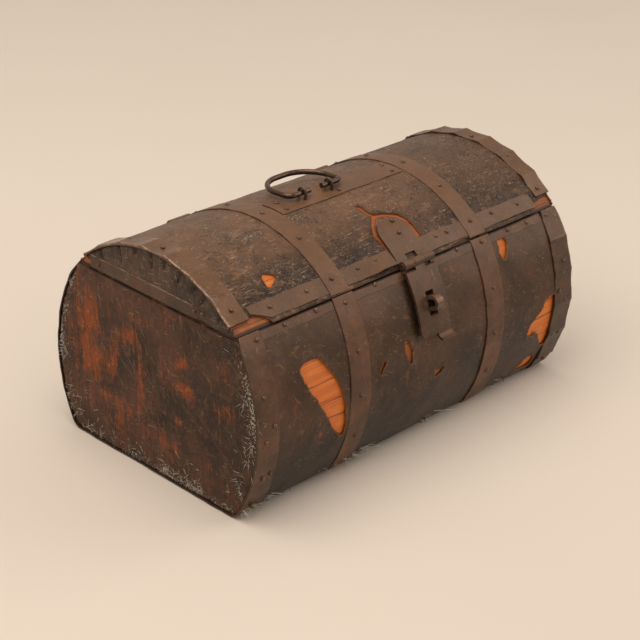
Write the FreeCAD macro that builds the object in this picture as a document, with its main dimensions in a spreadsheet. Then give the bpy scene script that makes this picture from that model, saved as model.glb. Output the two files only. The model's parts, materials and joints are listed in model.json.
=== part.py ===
"""A dome-lidded casket: coopered pine boards under a hide cover, bound with iron straps,
with two strap hinges at the back, a hasp over a staple at the front and a bail on the ridge."""
import FreeCAD
import Part
import Sketcher
import math
import os
import re

from FreeCAD import Vector

# Driving sizes in millimetres. X runs along the casket, -Y is its front, Z = 0 is the floor.
SIZES = {
    # Boards of the case
    "case_length": 495.6,
    "belly_width": 295.6,
    "belly_radius": 170.0,
    "belly_height": 96.0,
    "rim_height": 199.0,
    "board_thick": 12.0,
    "bottom_thick": 12.0,
    "end_thick": 15.0,
    "stave_gap": 0.4,
    # Boards of the lid
    "lid_gap": 0.4,
    "lid_rise": 48.0,
    # Layers over the boards
    "layer_gap": 0.2,
    "hide_thick": 2.0,
    "hide_setback": 1.5,
    "iron_thick": 2.0,
    "iron_setback": 1.0,
    # Iron straps, bands and strips
    "strap_width": 30.0,
    "lid_strap_width": 27.0,
    "left_strap_place": -103.0,
    "right_strap_place": 114.0,
    "band_width": 32.0,
    "band_lip": 1.5,
    "case_strip_height": 12.0,
    "lid_strip_height": 24.0,
    "end_strip_height": 16.0,
    "strip_gap": 3.0,
    "ridge_strap_width": 32.0,
    # Hinges
    "knuckle_radius": 5.0,
    "knuckle_gap": 0.4,
    "hinge_clearance": 0.3,
    "notch_clearance": 1.2,
    "pin_radius": 2.4,
    "pin_clearance": 0.08,
    "pin_head_radius": 3.6,
    "pin_head_thick": 1.5,
    # Hasp, its leaf on the lid and the staple it drops over
    "hasp_place": 9.0,
    "hasp_width": 46.0,
    "hasp_thick": 3.0,
    "hasp_length": 80.0,
    "hasp_corner_radius": 8.0,
    "tongue_width": 20.0,
    "tongue_curl_radius": 7.0,
    "leaf_reach": 58.0,
    "leaf_corner_radius": 20.0,
    "slot_drop": 27.0,
    "slot_height": 25.0,
    "slot_clearance": 1.0,
    "staple_width": 10.0,
    "staple_bar": 3.5,
    "staple_eye_radius": 4.5,
    "staple_reach": 20.0,
    "staple_embed": 9.0,
    # Bail and its two eyes
    "bail_place": -24.0,
    "bail_width": 78.0,
    "bail_depth": 52.0,
    "bail_lift": 5.5,
    "rod_radius": 3.0,
    "elbow_radius": 7.0,
    "bow_radius": 33.0,
    "bail_pin_reach": 30.0,
    "left_eye_place": -44.0,
    "right_eye_place": -4.0,
    "eye_wire_radius": 1.6,
    "eye_clearance": 0.5,
    "eye_embed": 8.0,
    # One overrun for all cuts
    "overrun": 10.0,
}

# Driving angles in degrees
ANGLES = {
    "tongue_sweep": 85.0,
    "bail_tilt": -4.0,
}

# Sizes that follow from the driving ones. Angles are in degrees above the level.
DERIVED = {
    "half_length": "case_length / 2",
    "belly_offset": "belly_radius - belly_width / 2",
    "hide_outer": "layer_gap + hide_thick",
    "iron_inner": "hide_outer + layer_gap",
    "iron_outer": "iron_inner + iron_thick",
    "wood_base": "iron_outer",
    "bottom_top": "wood_base + bottom_thick",
    "half_rim": "sqrt(belly_radius^2 - (rim_height - belly_height)^2) - belly_offset",
    "lid_rim": "rim_height + lid_gap",
    "lid_radius": "(half_rim^2 + lid_rise^2) / (2 * lid_rise)",
    "lid_centre": "lid_rim + lid_rise - lid_radius",
    "side_low_angle": "asin((bottom_top - belly_height) / belly_radius) / 1deg",
    "side_high_angle": "asin((rim_height - belly_height) / belly_radius) / 1deg",
    "lid_rim_angle": "asin((lid_rim - lid_centre) / lid_radius) / 1deg",
    "outer_end": "half_length + hide_outer",
    "band_end": "outer_end + band_lip",
    "case_iron": "belly_radius + iron_inner",
    "lid_iron": "lid_radius + iron_inner",
    "case_iron_top": "rim_height - iron_setback",
    "case_iron_middle": "case_iron + iron_thick / 2",
    "roll_low": "case_iron_top - iron_thick",
    "lid_iron_low": "lid_rim + iron_setback",
    "barrel_orbit": "lid_radius + hide_outer + hinge_clearance + knuckle_radius",
    "hinge_height": "rim_height + lid_gap / 2",
    "hinge_reach": "sqrt(barrel_orbit^2 - (hinge_height - lid_centre)^2)",
    "hinge_angle": "asin((hinge_height - lid_centre) / barrel_orbit) / 1deg",
    "notch_reach": "knuckle_radius + notch_clearance",
    "bore_radius": "pin_radius + pin_clearance",
    "hasp_height": "lid_rim + hinge_clearance + knuckle_radius",
    "hasp_reach": "sqrt(barrel_orbit^2 - (hasp_height - lid_centre)^2)",
    "hasp_lid_angle": "180 - asin((hasp_height - lid_centre) / barrel_orbit) / 1deg",
    "hasp_orbit": "hypot(hasp_reach + belly_offset; hasp_height - belly_height)",
    "hasp_top_angle": "180 - asin((hasp_height - belly_height) / hasp_orbit) / 1deg",
    "hasp_low_angle": "hasp_top_angle + hasp_length / hasp_orbit * 180 / pi",
    "leaf_top_angle": "hasp_lid_angle - leaf_reach / barrel_orbit * 180 / pi",
    "slot_top": "hasp_height - slot_drop",
    "staple_height": "slot_top - slot_height / 2",
    "staple_angle": "180 - asin((staple_height - belly_height) / hasp_orbit) / 1deg",
    "bail_height": "lid_centre + lid_radius + iron_outer + bail_lift",
    "eye_half": "rod_radius + eye_clearance + eye_wire_radius",
}

SIDE_STAVES = 4
LID_STAVES = 6
BAND_FACETS = 5

# Centres of the round sides, as (across, height)
FRONT = ("belly_offset", "belly_height")
BACK = ("-belly_offset", "belly_height")
DOME = ("0", "lid_centre")

doc = FreeCAD.newDocument("casket")
sizes = doc.addObject("Spreadsheet::Sheet", "Sizes")
derived = doc.addObject("Spreadsheet::Sheet", "Derived")
CELLS = {name: f"Sizes.{name}" for name in {**SIZES, **ANGLES}}
CELLS.update({name: f"Derived.{name}" for name in DERIVED})
parts = []


def cells(text, own=()):
    """Point each size name of a formula at its sheet cell."""
    def point(word):
        name = word.group()
        return name if name in own else CELLS.get(name, name)
    return re.sub(r"[a-z][a-z_]*", point, text)


def fill(sheet, entries):
    """Write names and contents into a sheet, one row each."""
    for row, (name, content) in enumerate(entries.items(), 1):
        sheet.set(f"A{row}", name)
        sheet.set(f"B{row}", content)
        sheet.setAlias(f"B{row}", name)


fill(sizes, {name: str(number) for name, number in {**SIZES, **ANGLES}.items()})
doc.recompute()
fill(derived, {name: "=" + cells(formula, DERIVED) for name, formula in DERIVED.items()})
doc.recompute()


def value(text):
    """The number that a formula gives now, in millimetres or degrees."""
    result = sizes.evalExpression(cells(text))
    return float(getattr(result, "Value", result))


def bind(target, path, text):
    target.setExpression(path, cells(text))


# Sketch helpers: every outline is held by dimensions bound to the sheets

def hold(sketch, text, kind, *where):
    """Add a dimension and bind it to a formula."""
    number = math.radians(value(text)) if kind == "Angle" else value(text)
    index = sketch.addConstraint(Sketcher.Constraint(kind, *where, number))
    sketch.renameConstraint(index, f"held_{index}")
    bind(sketch, f"Constraints.held_{index}", text)


def hold_point(sketch, edge, end, across, height):
    """Hold a point at an (across, height) place of the sketch."""
    for text, kind, axis in ((across, "DistanceX", -2), (height, "DistanceY", -1)):
        if text == "0":
            sketch.addConstraint(Sketcher.Constraint("PointOnObject", edge, end, axis))
        else:
            hold(sketch, text, kind, -1, 1, edge, end)


def arc_between(sketch, centre, start, stop):
    """Draw the shorter arc and say which of its ends are the start and the stop."""
    angles = [math.atan2(point.y - centre.y, point.x - centre.x) for point in (start, stop)]
    radius = start.distanceToPoint(centre)
    circle = Part.Circle(centre, Vector(0, 0, 1), radius)
    if (angles[1] - angles[0]) % (2 * math.pi) < math.pi:
        return sketch.addGeometry(Part.ArcOfCircle(circle, angles[0], angles[1])), 1, 2
    return sketch.addGeometry(Part.ArcOfCircle(circle, angles[1], angles[0])), 2, 1


class Outline:
    """A closed outline of arcs, level lines and spokes, in order round the section."""

    def __init__(self, sketch):
        self.sketch = sketch
        self.edges = []
        self.centres = {}

    def arc(self, centre, radius, side=0):
        self.edges.append({"kind": "arc", "centre": centre, "radius": radius, "side": side})
        return self

    def level(self, height, side=0):
        self.edges.append({"kind": "level", "height": height, "side": side})
        return self

    def spoke(self, centre, angle):
        self.edges.append({"kind": "spoke", "centre": centre, "angle": angle})
        return self

    @staticmethod
    def meeting(one, other, side):
        """Where an arc meets a level line or a spoke."""
        ring, end = (one, other) if one["kind"] == "arc" else (other, one)
        centre = Vector(value(ring["centre"][0]), value(ring["centre"][1]), 0)
        radius = value(ring["radius"])
        if end["kind"] == "spoke":
            angle = math.radians(value(end["angle"]))
            return centre + Vector(math.cos(angle), math.sin(angle), 0) * radius
        rise = value(end["height"]) - centre.y
        side = side or ring["side"] or end["side"]
        return centre + Vector(side * math.sqrt(radius**2 - rise**2), rise, 0)

    def draw(self, edge, start, stop):
        if edge["kind"] == "arc":
            centre = Vector(value(edge["centre"][0]), value(edge["centre"][1]), 0)
            return arc_between(self.sketch, centre, start, stop)
        if edge["kind"] == "spoke":
            centre = Vector(value(edge["centre"][0]), value(edge["centre"][1]), 0)
            if start.distanceToPoint(centre) > stop.distanceToPoint(centre):
                return self.sketch.addGeometry(Part.LineSegment(stop, start)), 2, 1
        return self.sketch.addGeometry(Part.LineSegment(start, stop)), 1, 2

    def restrain(self, edge, index):
        sketch = self.sketch
        if edge["kind"] == "arc":
            hold(sketch, edge["radius"], "Radius", index)
            if edge["centre"] in self.centres:
                first = self.centres[edge["centre"]]
                sketch.addConstraint(Sketcher.Constraint("Coincident", index, 3, first, 3))
            else:
                self.centres[edge["centre"]] = index
                hold_point(sketch, index, 3, *edge["centre"])
        elif edge["kind"] == "level":
            sketch.addConstraint(Sketcher.Constraint("Horizontal", index))
            if edge["height"] == "0":
                sketch.addConstraint(Sketcher.Constraint("PointOnObject", index, 1, -1))
            else:
                hold(sketch, edge["height"], "DistanceY", -1, 1, index, 1)
        else:
            centre = self.centres[edge["centre"]]
            sketch.addConstraint(Sketcher.Constraint("PointOnObject", centre, 3, index))
            hold(sketch, edge["angle"], "Angle", index)

    def close(self):
        count = len(self.edges)
        lone = {0: -1, 1: 1} if count == 2 else {}
        corners = [self.meeting(self.edges[place - 1], self.edges[place], lone.get(place, 0))
                   for place in range(count)]
        drawn = [self.draw(edge, corners[place], corners[(place + 1) % count])
                 for place, edge in enumerate(self.edges)]
        for place, (index, _, last) in enumerate(drawn):
            following, first, _ = drawn[(place + 1) % count]
            self.sketch.addConstraint(Sketcher.Constraint("Coincident", index, last, following, first))
        ranked = sorted(range(count), key=lambda place: self.edges[place]["kind"] != "arc")
        for place in ranked:
            self.restrain(self.edges[place], drawn[place][0])


def trace(sketch, points, bends=None, closed=True):
    """Runs from point to point, straight or, where bends has a (centre, radius), round."""
    bends = bends or {}
    places = [Vector(value(across), value(height), 0) for across, height in points]
    runs = len(points) if closed else len(points) - 1
    drawn = []
    for run in range(runs):
        start, stop = places[run], places[(run + 1) % len(points)]
        if run in bends:
            centre = bends[run][0]
            drawn.append(arc_between(sketch, Vector(value(centre[0]), value(centre[1]), 0), start, stop))
            hold(sketch, bends[run][1], "Radius", drawn[-1][0])
        else:
            drawn.append((sketch.addGeometry(Part.LineSegment(start, stop)), 1, 2))
    for run, (index, first, last) in enumerate(drawn):
        hold_point(sketch, index, first, *points[run])
        if closed or run + 1 < runs:
            following, entry, _ = drawn[(run + 1) % runs]
            sketch.addConstraint(Sketcher.Constraint("Coincident", index, last, following, entry))
        else:
            hold_point(sketch, index, last, *points[run + 1])


def circle(sketch, across, height, radius):
    middle = Vector(value(across), value(height), 0)
    index = sketch.addGeometry(Part.Circle(middle, Vector(0, 0, 1), value(radius)))
    hold(sketch, radius, "Radius", index)
    hold_point(sketch, index, 3, across, height)


# Body helpers

def new_body(name):
    made = doc.addObject("PartDesign::Body", name)
    made.Label = name
    parts.append(made)
    return made


def new_sketch(owner, role="YZ_Plane", offset="0"):
    """A sketch on one of the body's own planes, moved along the plane's normal."""
    plane = next(item for item in owner.Origin.OriginFeatures if item.Role == role)
    sketch = owner.newObject("Sketcher::SketchObject", f"{owner.Name}_sketch")
    sketch.AttachmentSupport = [(plane, "")]
    sketch.MapMode = "FlatFace"
    bind(sketch, "AttachmentOffset.Base.z", offset)
    return sketch


def pad(owner, sketch, length):
    """Thicken a sketch evenly to both sides."""
    made = owner.newObject("PartDesign::Pad", f"{owner.Name}_pad")
    made.Profile = sketch
    made.SideType = "Symmetric"
    bind(made, "Length", length)
    doc.recompute()
    return made


def pocket(owner, sketch, way="both"):
    """Cut a sketch right through, to both sides or one side of its plane, and see that it cut."""
    before = owner.Shape.Volume
    made = owner.newObject("PartDesign::Pocket", f"{owner.Name}_pocket")
    made.Profile = sketch
    made.Type = "ThroughAll"
    made.SideType = "Symmetric" if way == "both" else "One side"
    made.Reversed = way == "front"
    doc.recompute()
    if not owner.Shape.Volume < before:
        raise RuntimeError(f"{made.Name} cuts nothing")
    return made


def round_corner(owner, place, radius):
    """Round the edge that lies nearest to a place."""
    doc.recompute()
    base = owner.Tip
    gaps = [edge.CenterOfMass.distanceToPoint(place) for edge in base.Shape.Edges]
    made = owner.newObject("PartDesign::Fillet", f"{owner.Name}_fillet")
    made.Base = (base, [f"Edge{gaps.index(min(gaps)) + 1}"])
    bind(made, "Radius", radius)
    doc.recompute()
    return made


# Sections shared by the layers

def case_slab(sketch, radius, low, high):
    """The whole width of the case between two heights."""
    Outline(sketch).level(low).arc(BACK, radius, 1).level(high).arc(FRONT, radius, -1).close()


def case_wrap(sketch, inner, outer, high):
    """A layer round the front, underside and back, between two distances outside the boards."""
    outline = Outline(sketch)
    outline.arc(FRONT, f"belly_radius + {outer}", -1)
    outline.level("0" if outer == "iron_outer" else f"wood_base - {outer}")
    outline.arc(BACK, f"belly_radius + {outer}", 1).level(high)
    outline.arc(BACK, f"belly_radius + {inner}", 1).level(f"wood_base - {inner}")
    outline.arc(FRONT, f"belly_radius + {inner}", -1).level(high)
    outline.close()


def strip(sketch, centre, side, inner, outer, start, stop):
    """A bent strip between two radii. Each end is ("level", height, side) or ("spoke", angle)."""
    outline = Outline(sketch).arc(centre, outer, side)
    for end, radius in ((stop, inner), (start, None)):
        if end[0] == "level":
            outline.level(end[1], end[2])
        else:
            outline.spoke(centre, end[1])
        if radius:
            outline.arc(centre, radius, side)
    outline.close()


def facets(centre, side, radius, low_angle, high_angle):
    """Corners of flats hammered round a circle: each flat touches it at its middle."""
    step = f"(({high_angle}) - ({low_angle})) / {BAND_FACETS}"
    corners = [(low_angle, "1")]
    for flat in range(BAND_FACETS):
        corners.append((f"({low_angle}) + ({step}) * {flat + 0.5}", f"cos(({step}) / 2)"))
    corners.append((high_angle, "1"))
    return [(f"{centre[0]} + {side} * ({radius}) * cos({angle}) / {share}",
             f"{centre[1]} + ({radius}) * sin({angle}) / {share}") for angle, share in corners]


def knuckle_notch(owner, place, widths, low, high, way):
    """Cut a leaf away beside the other leaf's knuckles, on its back or its front only."""
    sketch = new_sketch(owner, "XZ_Plane")
    for left, right in widths:
        trace(sketch, [(f"{place} + {left}", low), (f"{place} + {right}", low),
                       (f"{place} + {right}", high), (f"{place} + {left}", high)])
    pocket(owner, sketch, way)


def knuckle(owner, place, length, across, height):
    """A barrel of a hinge, along X."""
    sketch = new_sketch(owner, offset=place)
    circle(sketch, across, height, "knuckle_radius")
    pad(owner, sketch, length)


def bore(owner, across, height):
    """The hole for a hinge pin through all of a leaf's knuckles."""
    sketch = new_sketch(owner)
    circle(sketch, across, height, "bore_radius")
    pocket(owner, sketch)


def headed_pin(name, place, width, across, height):
    """A hinge pin with a peened head at each end."""
    owner = new_body(name)
    rod = f"({width}) / 2 + knuckle_gap"
    end = f"{rod} + pin_head_thick"
    sketch = new_sketch(owner, "XZ_Plane", f"-({across})")
    bind(sketch, "AttachmentOffset.Base.x", place)
    bind(sketch, "AttachmentOffset.Base.y", height)
    trace(sketch, [(f"-({end})", "0"), (end, "0"), (end, "pin_head_radius"), (rod, "pin_head_radius"),
                   (rod, "pin_radius"), (f"-({rod})", "pin_radius"), (f"-({rod})", "pin_head_radius"),
                   (f"-({end})", "pin_head_radius")])
    turned = owner.newObject("PartDesign::Revolution", f"{name}_turned")
    turned.Profile = sketch
    turned.ReferenceAxis = (sketch, ["H_Axis"])
    return owner


# Boards of the case: staves run lengthwise and are nailed to the edges of the end boards

def make_case_boards():
    owner = new_body("bottom_board")
    sketch = new_sketch(owner)
    case_slab(sketch, "belly_radius", "wood_base", "bottom_top")
    pad(owner, sketch, "case_length")
    for name, sign in (("left", "-"), ("right", "")):
        owner = new_body(f"{name}_end_board")
        sketch = new_sketch(owner, offset=f"{sign}(half_length - end_thick / 2)")
        case_slab(sketch, "belly_radius - board_thick - layer_gap", "bottom_top", "rim_height")
        pad(owner, sketch, "end_thick")


def make_side_staves():
    half_gap = "stave_gap / 2 / belly_radius * 180 / pi"
    share = f"(side_high_angle - side_low_angle) / {SIDE_STAVES}"
    for name, centre, side in (("front", FRONT, -1), ("back", BACK, 1)):
        for stave in range(SIDE_STAVES):
            low = f"side_low_angle + {share} * {stave} + {half_gap}"
            high = f"side_low_angle + {share} * {stave + 1} - {half_gap}"
            turn = "180 - " if side < 0 else ""
            start = ("level", "bottom_top", side) if stave == 0 else ("spoke", f"{turn}({low})")
            stop = ("spoke", f"{turn}({high})")
            if stave == SIDE_STAVES - 1:
                stop = ("level", "rim_height", side)
            owner = new_body(f"{name}_stave_{stave + 1}")
            sketch = new_sketch(owner)
            strip(sketch, centre, side, "belly_radius - board_thick", "belly_radius", start, stop)
            pad(owner, sketch, "case_length")


def make_lid_boards():
    half_gap = "stave_gap / 2 / lid_radius * 180 / pi"
    share = f"(180 - 2 * lid_rim_angle) / {LID_STAVES}"
    for stave in range(LID_STAVES):
        start = ("spoke", f"180 - lid_rim_angle - {share} * {stave} - {half_gap}")
        stop = ("spoke", f"180 - lid_rim_angle - {share} * {stave + 1} + {half_gap}")
        if stave == 0:
            start = ("level", "lid_rim", -1)
        if stave == LID_STAVES - 1:
            stop = ("level", "lid_rim", 1)
        owner = new_body(f"lid_stave_{stave + 1}")
        sketch = new_sketch(owner)
        strip(sketch, DOME, 0, "lid_radius - board_thick", "lid_radius", start, stop)
        pad(owner, sketch, "case_length")
    for name, sign in (("left", "-"), ("right", "")):
        owner = new_body(f"{name}_lid_end_board")
        sketch = new_sketch(owner, offset=f"{sign}(half_length - end_thick / 2)")
        Outline(sketch).level("lid_rim").arc(DOME, "lid_radius - board_thick - layer_gap").close()
        pad(owner, sketch, "end_thick")


# Hide cover

def make_hides():
    owner = new_body("case_hide")
    sketch = new_sketch(owner)
    case_wrap(sketch, "layer_gap", "hide_outer", "rim_height - hide_setback")
    pad(owner, sketch, "case_length")
    owner = new_body("lid_hide")
    sketch = new_sketch(owner)
    strip(sketch, DOME, 0, "lid_radius + layer_gap", "lid_radius + hide_outer",
          ("level", "lid_rim + hide_setback", -1), ("level", "lid_rim + hide_setback", 1))
    pad(owner, sketch, "case_length")
    for name, sign in (("left", "-"), ("right", "")):
        place = f"{sign}(half_length + layer_gap + hide_thick / 2)"
        owner = new_body(f"{name}_end_hide")
        sketch = new_sketch(owner, offset=place)
        case_slab(sketch, "belly_radius + hide_outer", "wood_base - hide_outer", "rim_height - hide_setback")
        pad(owner, sketch, "hide_thick")
        owner = new_body(f"{name}_lid_end_hide")
        sketch = new_sketch(owner, offset=place)
        Outline(sketch).level("lid_rim + hide_setback").arc(DOME, "lid_radius + hide_outer").close()
        pad(owner, sketch, "hide_thick")


# Iron straps with the hinge knuckles rolled on their back ends

def roll_out(owner, place):
    """The stretch of a case strap that leaves the side for the barrel, wherever the barrel lies."""
    sketch = new_sketch(owner, offset=place)
    leave = {height: f"sqrt(case_iron_middle^2 - ({height} - belly_height)^2) - belly_offset"
             for height in ("roll_low", "case_iron_top")}
    trace(sketch, [(leave["roll_low"], "roll_low"), ("hinge_reach", "roll_low"),
                   ("hinge_reach", "case_iron_top"), (leave["case_iron_top"], "case_iron_top")])
    pad(owner, sketch, "strap_width")


def make_straps():
    for name in ("left", "right"):
        place = f"{name}_strap_place"
        third = "strap_width / 3"
        owner = new_body(f"{name}_case_strap")
        sketch = new_sketch(owner, offset=place)
        case_wrap(sketch, "iron_inner", "iron_outer", "case_iron_top")
        pad(owner, sketch, "strap_width")
        roll_out(owner, place)
        knuckle_notch(owner, place, [(f"-{third} / 2", f"{third} / 2")],
                      "hinge_height - notch_reach", "hinge_height + overrun", "back")
        for sign in ("-", "+"):
            knuckle(owner, f"{place} {sign} {third}", third, "hinge_reach", "hinge_height")
        bore(owner, "hinge_reach", "hinge_height")

        owner = new_body(f"{name}_lid_strap")
        tongue = f"{third} / 2 - knuckle_gap"
        edge = "lid_strap_width / 2 + overrun"
        sketch = new_sketch(owner, offset=place)
        strip(sketch, DOME, 0, "lid_iron", "lid_radius + iron_outer",
              ("level", "lid_iron_low", -1), ("spoke", "hinge_angle"))
        pad(owner, sketch, "lid_strap_width")
        knuckle_notch(owner, place, [(f"-({edge})", f"-({tongue})"), (tongue, edge)],
                      "hinge_height - overrun", "hinge_height + notch_reach", "back")
        knuckle(owner, place, f"2 * ({tongue})", "hinge_reach", "hinge_height")
        bore(owner, "hinge_reach", "hinge_height")
        headed_pin(f"{name}_hinge_pin", place, "strap_width", "hinge_reach", "hinge_height")


def make_bands():
    """Bands at the four corners, hammered round in flats."""
    for name, sign in (("left", "-"), ("right", "")):
        place = f"{sign}(band_end - band_width / 2)"
        rings = []
        for layer in ("iron_inner", "iron_outer"):
            radius = f"belly_radius + {layer}"
            low = f"asin((wood_base - {layer} - belly_height) / ({radius})) / 1deg"
            high = f"asin((case_iron_top - belly_height) / ({radius})) / 1deg"
            front = facets(FRONT, -1, radius, low, high)
            back = facets(BACK, 1, radius, low, high)
            rings.append(front[::-1] + back)
        owner = new_body(f"{name}_case_band")
        sketch = new_sketch(owner, offset=place)
        trace(sketch, rings[0] + rings[1][::-1])
        pad(owner, sketch, "band_width")

        rings = []
        for layer in ("iron_inner", "iron_outer"):
            radius = f"lid_radius + {layer}"
            low = f"asin((lid_iron_low - lid_centre) / ({radius})) / 1deg"
            rings.append(facets(DOME, 1, radius, low, f"180 - ({low})"))
        owner = new_body(f"{name}_lid_band")
        sketch = new_sketch(owner, offset=place)
        trace(sketch, rings[0] + rings[1][::-1])
        pad(owner, sketch, "band_width")


def make_strips():
    """Thin strips along the rims, between the straps, the bands and the hasp's leaf."""
    band_edge = "(band_end - band_width - strip_gap)"
    half_strap = "(strap_width / 2 + strip_gap)"
    half_lid_strap = "(lid_strap_width / 2 + strip_gap)"
    half_leaf = "(hasp_width / 2 + strip_gap)"
    case_spans = {
        "left_case_rim_strip": (f"-{band_edge}", f"left_strap_place - {half_strap}"),
        "middle_case_rim_strip": (f"left_strap_place + {half_strap}", f"right_strap_place - {half_strap}"),
        "right_case_rim_strip": (f"right_strap_place + {half_strap}", band_edge),
    }
    high = "asin((case_iron_top - belly_height) / case_iron) / 1deg"
    low = f"180 - ({high} - case_strip_height / case_iron * 180 / pi)"
    for name, (start, stop) in case_spans.items():
        owner = new_body(name)
        sketch = new_sketch(owner, offset=f"({start} + {stop}) / 2")
        strip(sketch, FRONT, -1, "case_iron", "case_iron + iron_thick",
              ("level", "case_iron_top", -1), ("spoke", low))
        pad(owner, sketch, f"({stop}) - ({start})")

    lid_spans = {
        "lid_rim_strip_1": (f"-{band_edge}", f"left_strap_place - {half_lid_strap}"),
        "lid_rim_strip_2": (f"left_strap_place + {half_lid_strap}", f"hasp_place - {half_leaf}"),
        "lid_rim_strip_3": (f"hasp_place + {half_leaf}", f"right_strap_place - {half_lid_strap}"),
        "lid_rim_strip_4": (f"right_strap_place + {half_lid_strap}", band_edge),
    }
    low = "asin((lid_iron_low - lid_centre) / lid_iron) / 1deg"
    high = f"180 - {low} - lid_strip_height / lid_iron * 180 / pi"
    for name, (start, stop) in lid_spans.items():
        owner = new_body(name)
        sketch = new_sketch(owner, offset=f"({start} + {stop}) / 2")
        strip(sketch, DOME, 0, "lid_iron", "lid_iron + iron_thick",
              ("level", "lid_iron_low", -1), ("spoke", high))
        pad(owner, sketch, f"({stop}) - ({start})")

    for name, sign in (("left", "-"), ("right", "")):
        owner = new_body(f"{name}_lid_end_strip")
        sketch = new_sketch(owner, offset=f"{sign}(outer_end + layer_gap + iron_thick / 2)")
        radius = "lid_radius + hide_outer"
        outline = Outline(sketch).level("lid_iron_low").arc(DOME, radius, 1)
        outline.level("lid_iron_low + end_strip_height").arc(DOME, radius, -1).close()
        pad(owner, sketch, "iron_thick")

    owner = new_body("ridge_strap")
    start = f"left_strap_place + {half_lid_strap}"
    stop = f"right_strap_place - {half_lid_strap}"
    half_turn = "ridge_strap_width / 2 / lid_iron * 180 / pi"
    sketch = new_sketch(owner, offset=f"({start} + {stop}) / 2")
    strip(sketch, DOME, 0, "lid_iron", "lid_iron + iron_thick",
          ("spoke", f"90 + {half_turn}"), ("spoke", f"90 - {half_turn}"))
    pad(owner, sketch, f"({stop}) - ({start})")


# Hasp: a leaf on the lid, a slotted plate hinged to it and a staple on the case

def arch_leaf(owner):
    """Cut the two upper corners of the hasp's leaf round, square to its upper edge."""
    sketch = new_sketch(owner, "XY_Plane", "lid_centre + lid_iron * sin(leaf_top_angle)")
    bind(sketch, "AttachmentOffset.Base.x", "hasp_place")
    bind(sketch, "AttachmentOffset.Base.y", "lid_iron * cos(leaf_top_angle)")
    sketch.AttachmentOffset.Rotation.Axis = Vector(1, 0, 0)
    bind(sketch, "AttachmentOffset.Rotation.Angle", "leaf_top_angle - 90")
    for sign in ("-", ""):
        side = f"{sign}(hasp_width / 2)"
        beyond = f"{sign}(hasp_width / 2 + overrun)"
        turn = f"{sign}(hasp_width / 2 - leaf_corner_radius)"
        trace(sketch, [(turn, "0"), (turn, "overrun"), (beyond, "overrun"),
                       (beyond, "-leaf_corner_radius"), (side, "-leaf_corner_radius")],
              {4: ((turn, "-leaf_corner_radius"), "leaf_corner_radius")})
    pocket(owner, sketch)


def make_hasp():
    third = "hasp_width / 3"
    tongue = f"({third} / 2 - knuckle_gap)"
    edge = "(hasp_width / 2 + overrun)"
    axis = ("-hasp_reach", "hasp_height")

    owner = new_body("hasp_leaf")
    sketch = new_sketch(owner, offset="hasp_place")
    strip(sketch, DOME, 0, "lid_iron", "lid_iron + iron_thick",
          ("spoke", "hasp_lid_angle"), ("spoke", "leaf_top_angle"))
    pad(owner, sketch, "hasp_width")
    arch_leaf(owner)
    knuckle_notch(owner, "hasp_place", [(f"-{third} / 2", f"{third} / 2")],
                  "hasp_height - overrun", "hasp_height + notch_reach", "front")
    for sign in ("-", "+"):
        knuckle(owner, f"hasp_place {sign} {third}", third, *axis)
    bore(owner, *axis)
    headed_pin("hasp_pin", "hasp_place", "hasp_width", *axis)

    owner = new_body("hasp")
    inner, outer = "hasp_orbit - hasp_thick / 2", "hasp_orbit + hasp_thick / 2"
    sketch = new_sketch(owner, offset="hasp_place")
    strip(sketch, FRONT, -1, inner, outer, ("spoke", "hasp_top_angle"), ("spoke", "hasp_low_angle"))
    pad(owner, sketch, "hasp_width")
    radius = value("hasp_orbit")
    turn = math.radians(value("hasp_low_angle"))
    corner = Vector(value("hasp_place - hasp_width / 2"), value("belly_offset") + radius * math.cos(turn),
                    value("belly_height") + radius * math.sin(turn))
    round_corner(owner, corner, "hasp_corner_radius")
    knuckle_notch(owner, "hasp_place", [(f"-{edge}", f"-{tongue}"), (tongue, edge)],
                  "hasp_height - notch_reach", "hasp_height + overrun", "front")
    knuckle(owner, "hasp_place", f"2 * {tongue}", *axis)
    bore(owner, *axis)
    half_slot = "(staple_width / 2 + slot_clearance)"
    knuckle_notch(owner, "hasp_place", [(f"-{half_slot}", half_slot)],
                  "slot_top - slot_height", "slot_top", "front")
    # The lifting tongue curls forward from the lower edge
    orbit = "(hasp_orbit + tongue_curl_radius)"
    curl = (f"belly_offset + {orbit} * cos(hasp_low_angle)", f"belly_height + {orbit} * sin(hasp_low_angle)")
    sketch = new_sketch(owner, offset="hasp_place + hasp_width / 2 - tongue_width / 2")
    strip(sketch, curl, 0, "tongue_curl_radius - hasp_thick / 2", "tongue_curl_radius + hasp_thick / 2",
          ("spoke", "hasp_low_angle - 180"), ("spoke", "hasp_low_angle - 180 - tongue_sweep"))
    pad(owner, sketch, "tongue_width")


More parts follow.
